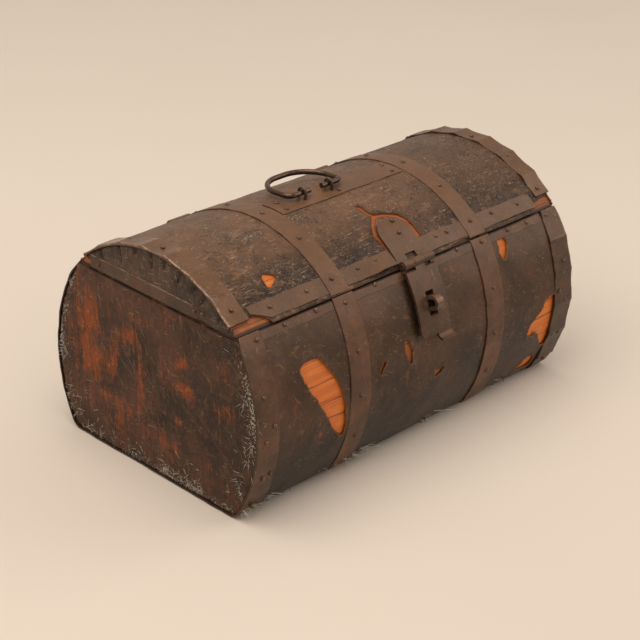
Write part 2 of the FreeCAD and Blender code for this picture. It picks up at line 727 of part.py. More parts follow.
def make_staple():
    """A flat bar bent to a loop, driven through the hide into the boards; its eye runs along X."""
    owner = new_body("padlock_staple")
    sketch = new_sketch(owner, offset="hasp_place")
    foot = "(belly_radius - staple_embed)"
    nose = "(belly_radius + hide_outer + staple_reach - staple_eye_radius - staple_bar)"
    bind(sketch, "AttachmentOffset.Base.x", "belly_offset")
    bind(sketch, "AttachmentOffset.Base.y", "belly_height")
    sketch.AttachmentOffset.Rotation.Axis = Vector(0, 0, 1)
    bind(sketch, "AttachmentOffset.Rotation.Angle", "staple_angle")
    low, high = "-(staple_eye_radius + staple_bar)", "staple_eye_radius + staple_bar"
    points = [(foot, low), (nose, low), (f"{nose} + staple_eye_radius + staple_bar", "0"), (nose, high),
              (foot, high), (foot, "staple_eye_radius"), (nose, "staple_eye_radius"),
              (f"{nose} + staple_eye_radius", "0"), (nose, "-staple_eye_radius"),
              (foot, "-staple_eye_radius")]
    bends = {1: ((nose, "0"), high), 2: ((nose, "0"), high),
             6: ((nose, "0"), "staple_eye_radius"), 7: ((nose, "0"), "staple_eye_radius")}
    trace(sketch, points, bends)
    pad(owner, sketch, "staple_width")


# Bail: a round rod whose ends turn inward through two wire eyes on the ridge

def make_bail():
    owner = new_body("bail")
    arms = {"-": "(bail_place - bail_width / 2)", "+": "(bail_place + bail_width / 2)"}
    far = "bail_depth - bow_radius"
    left, right = arms["-"], arms["+"]
    points = [(f"{left} + bail_pin_reach", "0"), (f"{left} + elbow_radius", "0"), (left, "elbow_radius"),
              (left, far), (f"{left} + bow_radius", "bail_depth"), (f"{right} - bow_radius", "bail_depth"),
              (right, far), (right, "elbow_radius"), (f"{right} - elbow_radius", "0"),
              (f"{right} - bail_pin_reach", "0")]
    bends = {1: ((f"{left} + elbow_radius", "elbow_radius"), "elbow_radius"),
             3: ((f"{left} + bow_radius", far), "bow_radius"),
             5: ((f"{right} - bow_radius", far), "bow_radius"),
             7: ((f"{right} - elbow_radius", "elbow_radius"), "elbow_radius")}
    route = new_sketch(owner, "XY_Plane", "bail_height")
    route.AttachmentOffset.Rotation.Axis = Vector(1, 0, 0)
    bind(route, "AttachmentOffset.Rotation.Angle", "bail_tilt")
    trace(route, points, bends, closed=False)
    section = new_sketch(owner, offset=f"{left} + bail_pin_reach")
    circle(section, "0", "bail_height", "rod_radius")
    bent = owner.newObject("PartDesign::AdditivePipe", "bail_rod")
    bent.Profile = section
    bent.Spine = route
    doc.recompute()


def make_eyes():
    ridge = "(lid_centre + lid_radius)"
    for name in ("left", "right"):
        owner = new_body(f"{name}_handle_eye")
        foot = f"{ridge} - eye_embed"
        points = [("-eye_half", foot), ("-eye_half", "bail_height"), ("0", "bail_height + eye_half"),
                  ("eye_half", "bail_height"), ("eye_half", foot)]
        bends = {1: (("0", "bail_height"), "eye_half"), 2: (("0", "bail_height"), "eye_half")}
        route = new_sketch(owner, offset=f"{name}_eye_place")
        trace(route, points, bends, closed=False)
        section = new_sketch(owner, "XY_Plane", foot)
        circle(section, f"{name}_eye_place", "-eye_half", "eye_wire_radius")
        bent = owner.newObject("PartDesign::AdditivePipe", f"{name}_eye_wire")
        bent.Profile = section
        bent.Spine = route
        doc.recompute()


def check_and_write():
    """Refuse a failed or open solid, then write each piece to its own file."""
    doc.recompute()
    failed = [item.Name for item in doc.Objects if {"Invalid", "Error"} & set(item.State)]
    for piece in parts:
        shape = piece.Shape
        if shape.isNull() or not shape.isValid() or len(shape.Solids) != 1:
            failed.append(piece.Label)
    if failed:
        raise RuntimeError(f"failed: {failed}")
    os.makedirs("parts", exist_ok=True)
    for piece in parts:
        piece.Shape.exportStep(f"parts/{piece.Label}.step")
    print(f"{len(parts)} pieces written")


make_case_boards()
make_side_staves()
make_lid_boards()
make_hides()
make_straps()
make_bands()
make_strips()
make_hasp()
make_staple()
make_bail()
make_eyes()
check_and_write()
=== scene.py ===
# %% [markdown]
# # A hide-covered casket with a domed lid
# The object is an old travelling casket: pine boards under a hide that has lost its hair, bound with
# iron. The frame brings the solid pieces at their real place; this lesson dresses them. The casket is
# measured in millimetres here, and MM turns a measure into Blender's metres.

# %% Load the frame
import json
import math
from functools import partial

import bpy
import numpy as np
from mathutils import Matrix, Vector


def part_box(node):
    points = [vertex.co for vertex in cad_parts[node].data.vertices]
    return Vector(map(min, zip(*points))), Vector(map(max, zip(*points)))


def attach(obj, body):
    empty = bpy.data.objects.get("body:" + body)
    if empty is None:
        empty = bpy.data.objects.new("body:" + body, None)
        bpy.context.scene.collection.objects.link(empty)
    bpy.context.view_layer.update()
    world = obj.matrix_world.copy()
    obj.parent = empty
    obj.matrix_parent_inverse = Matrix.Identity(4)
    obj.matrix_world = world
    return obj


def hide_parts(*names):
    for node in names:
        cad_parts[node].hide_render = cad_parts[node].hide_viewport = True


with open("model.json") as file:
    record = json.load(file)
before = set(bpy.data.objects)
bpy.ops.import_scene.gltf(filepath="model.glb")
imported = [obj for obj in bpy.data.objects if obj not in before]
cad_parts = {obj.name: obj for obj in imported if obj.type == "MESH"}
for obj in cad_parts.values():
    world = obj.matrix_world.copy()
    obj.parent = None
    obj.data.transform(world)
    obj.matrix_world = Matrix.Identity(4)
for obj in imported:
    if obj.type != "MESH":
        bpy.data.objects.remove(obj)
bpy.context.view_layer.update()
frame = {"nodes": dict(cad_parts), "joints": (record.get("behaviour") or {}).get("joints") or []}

nodes = frame["nodes"]

# %% [markdown]
# ## Sizes
# Hide and iron follow the boards, so the boards' own sizes are read back from the frame. Two driving
# sizes, the round of the sides and the height of their widest line, are written again by name, because
# a mesh doesn't tell them. The rest follows from these by the same geometry as on the bench.

# %% Sizes read from the frame
MM = 0.001
BELLY_RADIUS = 170.0
BELLY_HEIGHT = 96.0
HIDE_TOP = 2.2
HIDE_THICK = 1.7
IRON_BASE = 1.4
IRON_TOP = 3.6
FOOT_ROUND = 12.0


def low(node):
    """The lowest corner of a frame piece, in millimetres."""
    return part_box(node)[0] / MM


def high(node):
    """The highest corner of a frame piece, in millimetres."""
    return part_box(node)[1] / MM


half_length = high("bottom_board").x
base = low("bottom_board").z
rim = high("front_stave_4").z
lid_rim = low("lid_stave_1").z
ridge = high("lid_stave_3").z
belly_offset = BELLY_RADIUS + low("front_stave_2").y
half_rim = math.sqrt(BELLY_RADIUS**2 - (rim - BELLY_HEIGHT)**2) - belly_offset
lid_radius = (half_rim**2 + (ridge - lid_rim)**2) / (2 * (ridge - lid_rim))
lid_centre = ridge - lid_radius
joints = {joint["name"]: Vector(joint["pos_m"]) / MM for joint in frame["joints"]}

# %% [markdown]
# ## Surfaces to work on
# The hide and the straps run round the boards, so a place on them is best given as a distance along the
# casket, a distance round it and a height over the wood. A section holds that line as a short table and
# gives the point and the outward way. Straight edges could be modelled by hand and bent afterwards, but
# with a section every strap, nail and tear lands on the surface by its own measures.

# %% Sections of the case and the lid


def arc(centre, radius, start, stop):
    """A round stretch of a section, from one outward angle to another."""
    def shape(share):
        way = start + (stop - start) * share
        return centre[0] + radius * np.cos(way), centre[1] + radius * np.sin(way), way
    return radius * abs(stop - start), shape


def run(start, stop, way):
    """A straight stretch of a section, with one outward angle."""
    def shape(share):
        y, z = (first + (last - first) * share for first, last in zip(start, stop))
        return y, z, np.full(len(share), way)
    return math.dist(start, stop), shape


class Section:
    """A line round the boards: x, a distance along the line and a height give a point in metres."""

    def __init__(self, *spans):
        steps, rows, self.length = [], [], 0.0
        for length, shape in spans:
            share = np.linspace(0, 1, int(length * 2) + 2)
            steps.append(self.length + length * share)
            rows.append(np.stack(shape(share)))
            self.length += length
        self.steps = np.concatenate(steps)
        self.rows = np.concatenate(rows, axis=1)

    def __call__(self, x, along, height):
        y, z, way = (np.interp(along, self.steps, row) for row in self.rows)
        y, z = y + height * np.cos(way), z + height * np.sin(way)
        return np.stack(np.broadcast_arrays(x, y, z), axis=-1) * MM

    def wound(self, along, x, height):
        """The same point, asked for by a strip that runs round the boards."""
        return self(x, along, height)


rim_turn = math.asin((rim - BELLY_HEIGHT) / BELLY_RADIUS)
foot_turn = math.asin((base + FOOT_ROUND - BELLY_HEIGHT) / (BELLY_RADIUS - FOOT_ROUND))
lid_turn = math.asin((lid_rim - lid_centre) / lid_radius)
foot = (BELLY_RADIUS - FOOT_ROUND) * math.cos(foot_turn) - belly_offset
case_side = Section(
    arc((belly_offset, BELLY_HEIGHT), BELLY_RADIUS, math.pi - rim_turn, math.pi - foot_turn),
    arc((-foot, base + FOOT_ROUND), FOOT_ROUND, math.pi - foot_turn, 1.5 * math.pi),
    run((-foot, base), (foot, base), 1.5 * math.pi),
    arc((foot, base + FOOT_ROUND), FOOT_ROUND, 1.5 * math.pi, 2 * math.pi + foot_turn),
    arc((-belly_offset, BELLY_HEIGHT), BELLY_RADIUS, 2 * math.pi + foot_turn, 2 * math.pi + rim_turn))
lid_side = Section(arc((0, lid_centre), lid_radius, math.pi - lid_turn, lid_turn))
front_depth = BELLY_RADIUS * (rim_turn - foot_turn)
corner_length = FOOT_ROUND * (math.pi / 2 + foot_turn)


def end_face(side):
    """The flat end of the casket: y, z and a height over the boards give a point in metres."""
    def place(y, z, height):
        return np.stack(np.broadcast_arrays(side * (half_length + height), y, z), axis=-1) * MM
    return place


print("round the case", round(case_side.length), "mm, over the lid", round(lid_side.length), "mm")

# %% [markdown]
# ## Unevenness
# Nothing on the casket is straight. A table of seeded random heights, smoothed between its points, gives
# every wave, dent and ragged edge, and comes out the same at each run.

# %% Uneven heights
TABLE = (61, 67)
OCTAVES = 3
RIPPLE_SCALE = 1.4


def ripple(u, v, size, seed):
    """Soft uneven heights from about -1 to 1, whose bumps have the given size."""
    total, strength = 0.0, 1.0
    for octave in range(OCTAVES):
        table = np.random.default_rng(seed * 10 + octave).uniform(-1, 1, TABLE)
        a, b = np.asarray(u) / size + seed * 0.37, np.asarray(v) / size + seed * 0.61
        i, j = np.floor(a).astype(int), np.floor(b).astype(int)
        p, q = a - i, b - j
        p, q = p * p * (3 - 2 * p), q * q * (3 - 2 * q)
        before, after = (table[(i + ahead) % TABLE[0], j % TABLE[1]] * (1 - q)
                         + table[(i + ahead) % TABLE[0], (j + 1) % TABLE[1]] * q for ahead in (0, 1))
        total = total + strength * (before * (1 - p) + after * p)
        size, strength = size / 2, strength / 2
    return total / RIPPLE_SCALE


def step(start, stop, value):
    """A soft step from 0 at start to 1 at stop."""
    share = np.clip((value - start) / (stop - start), 0, 1)
    return share * share * (3 - 2 * share)


def spots(u, v, places):
    """Soft spots, each with a place, a half width, a half height and a strength."""
    return sum(strength * np.exp(-((u - across) / wide)**2 - ((v - along) / tall)**2)
               for across, along, wide, tall, strength in places)


print("ripples reach", round(float(np.abs(ripple(np.arange(900.0), 0.0, 20, 1)).max()), 2))

# %% [markdown]
# ## Shader sums
# A finish is a sum of masks and colours. Wiring each Math node by hand hides the thought behind it, so a
# value wraps a socket and takes part in plain Python sums.

# %% Colours and values


def paint(red, green, blue):
    """A colour as a screen shows it, from 0 to 255, as Blender's linear light."""
    def linear(channel):
        share = channel / 255
        return share / 12.92 if share < 0.04045 else ((share + 0.055) / 1.055) ** 2.4
    return linear(red), linear(green), linear(blue)


class Value:
    """A shader socket that takes part in sums."""

    def __init__(self, finish, socket):
        self.finish, self.socket = finish, socket

    def __add__(self, other):
        return self.finish.math("ADD", self, other)

    def __sub__(self, other):
        return self.finish.math("SUBTRACT", self, other)

    def __rsub__(self, other):
        return self.finish.math("SUBTRACT", other, self)

    def __mul__(self, other):
        return self.finish.math("MULTIPLY", self, other)

    __radd__, __rmul__ = __add__, __mul__


print("a middle grey is", round(paint(128, 128, 128)[0], 3), "in linear light")

# %% [markdown]
# ### A finish
# One method adds any node, and the others say what the node is for: clouds, patches, streaks, cells and
# lines. A finish starts with one colour and gets its stains and wear, and some painted light and shade, as
# coats over it, as a painter works.

# %% A finish


class Finish:
    """One material. Its node method adds any node and returns one of its outputs as a value."""

    def __init__(self, name):
        self.material = bpy.data.materials.new(name)
        self.material.use_nodes = True
        self.tree = self.material.node_tree
        self.tree.nodes.clear()
        self.place = self.node("TexCoord", out="Object")
        self.colour = None

    def node(self, kind, settings=None, out=0, **sockets):
        made = self.tree.nodes.new("ShaderNode" + kind)
        for name, setting in (settings or {}).items():
            setattr(made, name, setting)
        for name, given in sockets.items():
            socket = made.inputs[int(name[1:]) if name[0] == "n" else name.replace("_", " ")]
            if isinstance(given, Value):
                self.tree.links.new(given.socket, socket)
            else:
                socket.default_value = (*given, 1) if socket.type == "RGBA" else given
        return Value(self, made.outputs[out])

    def math(self, operation, first, second):
        return self.node("Math", {"operation": operation}, n0=first, n1=second)

    def mask(self, value, start, stop):
        """A soft step of a value, from 0 at start to 1 at stop."""
        return self.node("MapRange", {"interpolation_type": "SMOOTHSTEP"}, n0=value, n1=start, n2=stop)

    def rise(self, place, span):
        """A soft step of a place in metres, over a span in millimetres."""
        return self.mask(place, span[0] * MM, span[1] * MM)

    def zone(self, place, start, stop):
        """A stretch of places that fades in over one span and out over another."""
        return self.rise(place, start) - self.rise(place, stop)

    def mix(self, share, first, second):
        return self.node("Mix", {"data_type": "RGBA"}, 2, n0=share, n6=first, n7=second)

    def coat(self, share, colour):
        """Lay a colour over the one so far."""
        self.colour = self.mix(share, self.colour, colour)

    def noise(self, size, detail=4, rough=0.6, twist=0.0):
        """Cloudy values whose clouds have a size in millimetres."""
        return self.node("TexNoise", Vector=self.place, Scale=1 / (size * MM), Detail=detail,
                         Roughness=rough, Distortion=twist)

    def patches(self, start, stop, *clouds):
        """Soft patches, where clouds rise from a start to a stop."""
        return self.mask(self.noise(*clouds), start, stop)

    def cells(self, size):
        """Pebbly values whose cells have a size in millimetres."""
        return self.node("TexVoronoi", Vector=self.place, Scale=1 / (size * MM))

    def streaks(self, turn, length, width, detail=2, twist=0.0):
        """Noise drawn out along a turned X axis, for grain and scratches."""
        place = self.node("Mapping", {"vector_type": "TEXTURE"}, Vector=self.place, Rotation=turn,
                          Scale=(length * MM, width * MM, width * MM))
        return self.node("TexNoise", Vector=place, Scale=1.0, Detail=detail, Distortion=twist)

    def lines(self, size, width, detail=2):
        """Thin wandering lines, where cloudy values cross their middle."""
        noise = self.noise(size, detail, 0.55, 0.6)
        return 1 - self.mask(self.math("ABSOLUTE", noise - 0.5, 0.0), 0.0, width)

    def outward(self):
        """The way that a face looks."""
        return self.node("TexCoord", out="Normal")

    def upward(self, start):
        """How far a face looks up, as a soft step that is full on level faces."""
        return self.mask(self.node("SeparateXYZ", out=2, Vector=self.outward()), start, 1.0)

    def attribute(self, name):
        return self.node("Attribute", {"attribute_name": name}, "Fac")

    def bump(self, height, depth):
        """A normal from a height between 0 and 1 that stands for a depth in millimetres."""
        return self.node("Bump", Height=height, Distance=depth * MM, Strength=1.0)

    def done(self, **sockets):
        """The shader in the colour of all the coats, on the material's output."""
        shader = self.node("BsdfPrincipled", Base_Color=self.colour, **sockets)
        output = self.tree.nodes.new("ShaderNodeOutputMaterial")
        self.tree.links.new(shader.socket, output.inputs["Surface"])
        print("finish", self.material.name, "has", len(self.tree.nodes), "nodes")
        return self.material


# %% [markdown]
# ## Hide
# The hide is dark, smooth and a little greasy on the front, scuffed to brown on the lid, and red with rot
# on the ends. Cloudy noise at several sizes gives the stains, drawn-out noise the scratches, and small
# cells the grain. Each sheet also carries how far a place lies from a tear, where the hide turns tan and
# fibrous, how much rot and bare skin it has there, and how much it is darkened: painted shade low on the
# front, beside the hasp and in the folds of the lid's ends, and a darkening towards the lid's right end.

# %% Finishes of the hide


def seam_shade_and_dirt(finish):
    """Painted shade with some dirt, darkening the gap where the rims of case and lid meet, by height."""
    height = finish.node("SeparateXYZ", out=2, Vector=finish.place)
    return finish.zone(height, (rim - 4.5, rim - 2), (lid_rim + 1, lid_rim + 3))


def hide_finish(name, dark, brown, scuffed, ways, wear, dull, scratched, grain, rough, dust_and_sheen):
    """A hide in three browns, scratched along the given ways, and paler where it looks up: partly dust and
    fading, partly a painted sheen of the light from above.
    """
    finish = Finish(name)
    torn, rot, bare, darkening = (finish.attribute(label) for label in ("torn", "rot", "bare", "darkening"))
    stains = finish.patches(0.38, 0.62, 70, 5)
    rubbed = finish.mask(finish.streaks(ways[0], 19, 8, 8, 1.2), 0.56 - wear, 0.7 - wear)
    mottled = finish.patches(0.42, 0.64, 5, 5, 0.7)
    grime = finish.patches(0.5, 0.68, 15, 8, 0.78, 0.9)
    finish.colour = finish.mix(stains, dark, brown)
    finish.coat(rubbed * 0.75 + mottled * (0.2 * rough), scuffed)
    finish.coat(grime * (0.6 * rough), paint(40, 31, 25))
    # Paler where a face looks up: partly dust and fading, partly a painted sheen of the light from above.
    finish.coat(finish.upward(dust_and_sheen[0]) * dust_and_sheen[1], paint(152, 111, 81))
    # Darker where the sheet's darkening says: painted shade low on the front and in the folds of the lid's
    # ends, a painted shadow beside the hasp, and a darkening towards the lid's right end.
    finish.coat(darkening * 0.75, paint(34, 26, 20))
    scratches = finish.lines(9, 0.024) * finish.patches(0.56, 0.64, 6, 2) * (bare + 0.4 * rough)
    for number, way in enumerate(ways):
        patch = finish.patches(0.47, 0.57, 26 + 9 * number, 3)
        scratches = scratches + finish.mask(finish.streaks(way, 20, 0.95, 1, 0.3), 0.685, 0.72) * patch
    cracks = finish.lines(9, 0.03, 3) * finish.patches(0.5, 0.6, 20, 3) * rough
    streaked = finish.streaks(ways[-1], 34, 3.0, 4)
    red = finish.mask(rot + finish.noise(14, 10, 0.8, 0.7) * 2.1 + streaked * 1.7, 1.95, 2.75)
    finish.coat(red * 0.78, paint(143, 73, 37))
    finish.coat(red * finish.patches(0.5, 0.66, 6, 5, 0.7) * 0.7, paint(178, 96, 42))
    finish.coat(cracks * 0.7, paint(34, 26, 21))
    finish.coat(finish.math("MINIMUM", scratches * scratched, 0.85), paint(190, 164, 138))
    finish.coat(finish.patches(0.76, 0.79, 1.8, 1) * 0.6, paint(200, 188, 170))
    flakes = finish.mask(finish.noise(2.6, 3) + bare * 0.17, 0.66, 0.74)
    finish.coat(bare * 0.5, paint(58, 48, 41))
    finish.coat(flakes * (bare * 0.75 + rubbed * 0.3 * scratched), paint(200, 184, 164))
    fibres = 1 - finish.mask(torn + finish.noise(3, 3) * 1.6, 0.9, 2.4)
    finish.coat(fibres * 0.45, paint(118, 76, 44))
    # Painted shade, with some dirt, in the seam between case and lid.
    finish.coat(seam_shade_and_dirt(finish) * 0.85, paint(30, 23, 19))
    relief = (finish.cells(1.9) * 0.2 + finish.noise(7, 6, 0.7) * 0.8 - scratches * 0.3 - cracks * 0.5
              - grime * 0.25 + flakes * bare * 0.5) * rough + finish.noise(40, 3) * 2.0
    roughness = dull + rubbed * 0.14 + finish.noise(12, 3) * 0.16 + red * 0.14
    return finish.done(Roughness=roughness, Normal=finish.bump(relief, grain), Specular_IOR_Level=0.24)


FRONT_WAYS = (0, 0.5, 0), (0, -0.9, 0), (0, 1.35, 0)
LID_WAYS = (0, 0, 0.06), (0, 0.25, 0.5), (0, -0.3, -0.7)
END_WAYS = (0, -0.9, 1.57), (0, 0.15, 1.57), (0, -1.45, 1.57)
front_hide = hide_finish(
    "worn_front_hide", paint(43, 30, 21), paint(79, 52, 34), paint(114, 80, 55), FRONT_WAYS,
    wear=-0.02, dull=0.25, scratched=0.22, grain=0.5, rough=0.3, dust_and_sheen=(-0.2, 0.28))
lid_hide = hide_finish(
    "scuffed_lid_hide", paint(48, 36, 27), paint(82, 57, 41), paint(128, 93, 67), LID_WAYS,
    wear=0.02, dull=0.32, scratched=1.3, grain=1.0, rough=1.0, dust_and_sheen=(0.8, 0.4))
end_hide = hide_finish(
    "rotted_end_hide", paint(50, 36, 27), paint(84, 54, 38), paint(104, 72, 53), END_WAYS,
    wear=0.02, dull=0.46, scratched=0.35, grain=0.7, rough=1.0, dust_and_sheen=(0.5, 0.28))
gathered_hide = hide_finish(
    "gathered_lid_end_hide", paint(52, 41, 33), paint(78, 58, 45), paint(120, 91, 70), END_WAYS,
    wear=-0.03, dull=0.34, scratched=0.6, grain=0.8, rough=0.9, dust_and_sheen=(0.5, 0.28))


def torn_fibre():
    finish = Finish("torn_hide_edge")
    finish.colour = finish.mix(finish.noise(2.5, 5, 0.7), paint(64, 42, 28), paint(176, 118, 70))
    # Painted shade, with some dirt, in the seam between case and lid.
    finish.coat(seam_shade_and_dirt(finish) * 0.9, paint(34, 26, 21))
    return finish.done(Roughness=0.85, Normal=finish.bump(finish.noise(0.8, 3), 0.3))


hide_edge = torn_fibre()

# %% [markdown]
# ## Iron
# The iron is thin, rusted to a warm brown and rubbed bare along its edges, so rust keeps it matt and a mask
# of the edges brings the metal back. The straps are the rustiest, the bail and the staple the most handled.
# All are one recipe, so each iron is a row of a table: its name, how metallic and how dull it is, and its
# dark, brown, rusted and bare colours.

# %% Finishes of the iron


def iron_finish(name, metal, dull, *colours):
    dark, brown, rust, bare = (paint(*colour) for colour in colours)
    finish = Finish(name)
    edge = finish.attribute("edge")
    stains = finish.patches(0.36, 0.66, 34, 6, 0.65)
    bloom = finish.patches(0.48, 0.7, 11, 7, 0.7, 0.4)
    sooty = finish.patches(0.53, 0.68, 19, 8, 0.72, 0.6)
    pits = finish.patches(0.56, 0.7, 1.6, 4, 0.7)
    # Paler along worn edges: rubbed metal, and on the left lid band's outer fold also a painted highlight.
    rubbed = finish.mask(edge * 0.4 + finish.noise(7, 6, 0.7) * 0.9, 0.84, 1.1)
    # Darker along the strips' sides: dirt, and a painted shade of the gap line beside them.
    dirt_and_shade = finish.mask(finish.attribute("dirt_and_shade") + finish.noise(9, 4) * 0.7, 0.75, 1.2)
    scratches = (finish.lines(15, 0.014) * finish.patches(0.53, 0.6, 9, 2)
                 + finish.patches(0.76, 0.8, 1.8, 1))
    finish.colour = finish.mix(stains, dark, brown)
    finish.coat(bloom * 0.6, rust)
    finish.coat(sooty * 0.55, paint(50, 36, 27))
    finish.coat(pits * 0.5, paint(48, 35, 28))
    # Paler where a face looks up: partly fading, partly painted light from above.
    finish.coat(finish.upward(0.1) * 0.32, paint(158, 115, 82))
    finish.coat(rubbed * 0.5 + scratches * 0.4, bare)
    finish.coat(dirt_and_shade * 0.8, paint(36, 27, 22))
    relief = finish.noise(14, 4) * 0.6 + finish.noise(2.2, 5, 0.7) * 0.35 - pits * 0.3
    roughness = dull + bloom * 0.2 + pits * 0.1 - rubbed * 0.14
    return finish.done(Roughness=roughness, Metallic=metal + rubbed * 0.3,
                       Normal=finish.bump(relief, 0.4), Specular_IOR_Level=0.4)


IRONS = [
    ("rusted_strap_iron", 0.12, 0.38, (78, 51, 33), (105, 69, 45), (118, 68, 38), (156, 126, 104)),
    ("olive_band_iron", 0.2, 0.3, (68, 45, 29), (95, 64, 42), (107, 67, 39), (172, 142, 118)),
    # A lighter, satin copy of the band iron, for the left lid band: painted light on that sunlit band.
    ("satin_sunlit_lid_band_iron", 0.25, 0.2, (80, 56, 40), (112, 80, 57), (116, 74, 47), (190, 160, 138)),
    ("thin_strip_iron", 0.12, 0.36, (60, 41, 27), (87, 59, 39), (105, 64, 37), (160, 132, 110)),
    ("dark_fitting_iron", 0.4, 0.3, (60, 46, 37), (82, 62, 50), (92, 62, 44), (166, 146, 130)),
    ("rubbed_nail_iron", 0.45, 0.2, (80, 61, 48), (106, 83, 67), (100, 66, 46), (196, 174, 154)),
    ("handled_bail_iron", 0.8, 0.14, (62, 52, 45), (82, 70, 61), (80, 60, 47), (196, 182, 168)),
    ("rubbed_staple_iron", 0.6, 0.26, (96, 77, 64), (126, 104, 89), (112, 75, 52), (214, 200, 186)),
]
(strap_iron, band_iron, sunlit_lid_band_iron, strip_iron, fitting_iron, nail_iron, handled_iron,
 staple_iron) = (iron_finish(*row) for row in IRONS)

# %% [markdown]
# ## Pine and hair
# The boards under the hide are pine, orange with age, with the grain along them and three wandering cracks.
# Their colour follows the place on the casket: darker behind the small tears in the middle of the front, a
# painted shade of the narrow holes; darker and redder beside the hasp's leaf, partly grime and partly
# painted shade in the narrow cracks; grimy at the rims, and dusty where a face looks at the middle of the
# casket. What is left of the hair is whitish.

# %% Finishes of the boards and the hair
BOARD_CRACKS = ((131, 0.4), (107, 0.4), (87, 0.8))
WANDER = 8.0
TEAR_SHADE_ALONG, TEAR_SHADE_TOP, TEAR_SHADE_FRONT = ((-92, -80), (60, 90)), (180, 190), (-130, -120)
LEAF_ALONG, LEAF_HEIGHT = ((-30, -20), (45, 55)), (206, 212)
RIM_DIRT_DEPTH, RIM_DIRT_TOP = 4.0, (208, 216)
INWARD = (-20, 0)
ALONG_BOARDS = (0, 0, 0)


def pine_finish():
    finish = Finish("aged_pine")
    along, across, height = (finish.node("SeparateXYZ", out=way, Vector=finish.place) for way in range(3))
    rings = finish.streaks(ALONG_BOARDS, 160, 5.5, 5, 1.2)
    fine = finish.streaks(ALONG_BOARDS, 40, 0.7, 3)
    finish.colour = finish.mix(finish.mask(rings, 0.34, 0.66), paint(228, 128, 44), paint(206, 104, 34))
    finish.coat(finish.mask(fine, 0.56, 0.74) * 0.35, paint(146, 72, 30))
    finish.coat(finish.patches(0.55, 0.75, 40, 4) * 0.4, paint(226, 152, 84))
    finish.coat(finish.patches(0.55, 0.7, 16, 5) * 0.3, paint(150, 72, 36))
    wander = height + (finish.streaks(ALONG_BOARDS, 60, 12, 3) - 0.5) * (WANDER * MM)
    cracks = 0.0
    for place, width in BOARD_CRACKS:
        gap = finish.math("ABSOLUTE", wander - place * MM, 0.0)
        cracks = cracks + (1 - finish.rise(gap, (0.4 * width, 1.2 * width)))
    finish.coat(cracks * 0.85, paint(56, 28, 13))
    # Painted shade of the narrow holes: the boards behind the small tears in the middle of the front are
    # darker.
    small_tear_shade = finish.zone(along, *TEAR_SHADE_ALONG) * (1 - finish.rise(height, TEAR_SHADE_TOP))
    finish.coat(small_tear_shade * (1 - finish.rise(across, TEAR_SHADE_FRONT)) * 0.55, paint(84, 47, 28))
    # Darker and redder in the narrow cracks beside the hasp's leaf: partly grime, partly painted shade.
    leaf_crack_grime_and_shade = finish.zone(along, *LEAF_ALONG) * finish.rise(height, LEAF_HEIGHT)
    finish.coat(leaf_crack_grime_and_shade * 0.55, paint(128, 62, 38))
    middle = finish.node("VectorMath", {"operation": "SUBTRACT"}, n0=finish.place,
                         n1=(0, 0, BELLY_HEIGHT * MM))
    facing = finish.node("VectorMath", {"operation": "DOT_PRODUCT"}, "Value", n0=finish.outward(), n1=middle)
    dusty = (1 - finish.rise(facing, INWARD)) * (0.55 + 0.35 * finish.noise(30, 5))
    finish.coat(dusty, paint(132, 98, 68))
    rim_dirt = finish.zone(height, (rim - RIM_DIRT_DEPTH, rim), RIM_DIRT_TOP)
    finish.coat(rim_dirt * (0.25 + 0.6 * finish.noise(12, 5)), paint(96, 48, 20))
    finish.coat(finish.mask(fine, 0.46, 0.6) * rim_dirt * 0.7, paint(62, 32, 16))
    # Painted shade, with some dirt, in the seam between case and lid.
    finish.coat(seam_shade_and_dirt(finish) * 0.85, paint(36, 25, 18))
    relief = fine * 0.6 + rings * 0.4 - cracks * 0.9
    return finish.done(Roughness=0.55, Normal=finish.bump(relief, 0.5))


def hair_finish(name, dark, pale):
    finish = Finish(name)
    finish.colour = finish.mix(finish.noise(6, 2), dark, pale)
    return finish.done(Roughness=0.6)


aged_pine = pine_finish()
old_hair = hair_finish("old_hair", paint(146, 132, 116), paint(240, 232, 220))
pale_hair = hair_finish("pale_tuft_hair", paint(150, 136, 120), paint(238, 230, 218))

# %% [markdown]
# ## Pieces
# A piece is gathered as points and faces, made into one mesh, and rides on the body that carries it. Its
# name, its body, its finish and the frame pieces that it stands for are given in one line.

# %% Gathering points into a piece
IRON_SHARP, SHEET_SHARP = 35, 60


def dress(thing, body, finishes, replaced=()):
    """Give a new piece its finishes and its place in the frame."""
    for finish in finishes:
        thing.data.materials.append(finish)
    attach(thing, body)
    if replaced:
        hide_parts(*replaced)
    print(thing.name, "has", len(thing.data.vertices), "points, on", body)


def mesh_piece(name, points, faces, attributes, sharp=IRON_SHARP):
    """A new object from points in metres, faces and one value per point for each attribute."""
    mesh = bpy.data.meshes.new(name)
    mesh.from_pydata(np.asarray(points).tolist(), [], faces)
    for label, values in attributes.items():
        layer = mesh.attributes.new(label, "FLOAT", "POINT")
        layer.data.foreach_set("value", np.asarray(values, np.float32))
    mesh.shade_smooth()
    mesh.set_sharp_from_angle(angle=math.radians(sharp))
    thing = bpy.data.objects.new(name, mesh)
    bpy.context.scene.collection.objects.link(thing)
    return thing


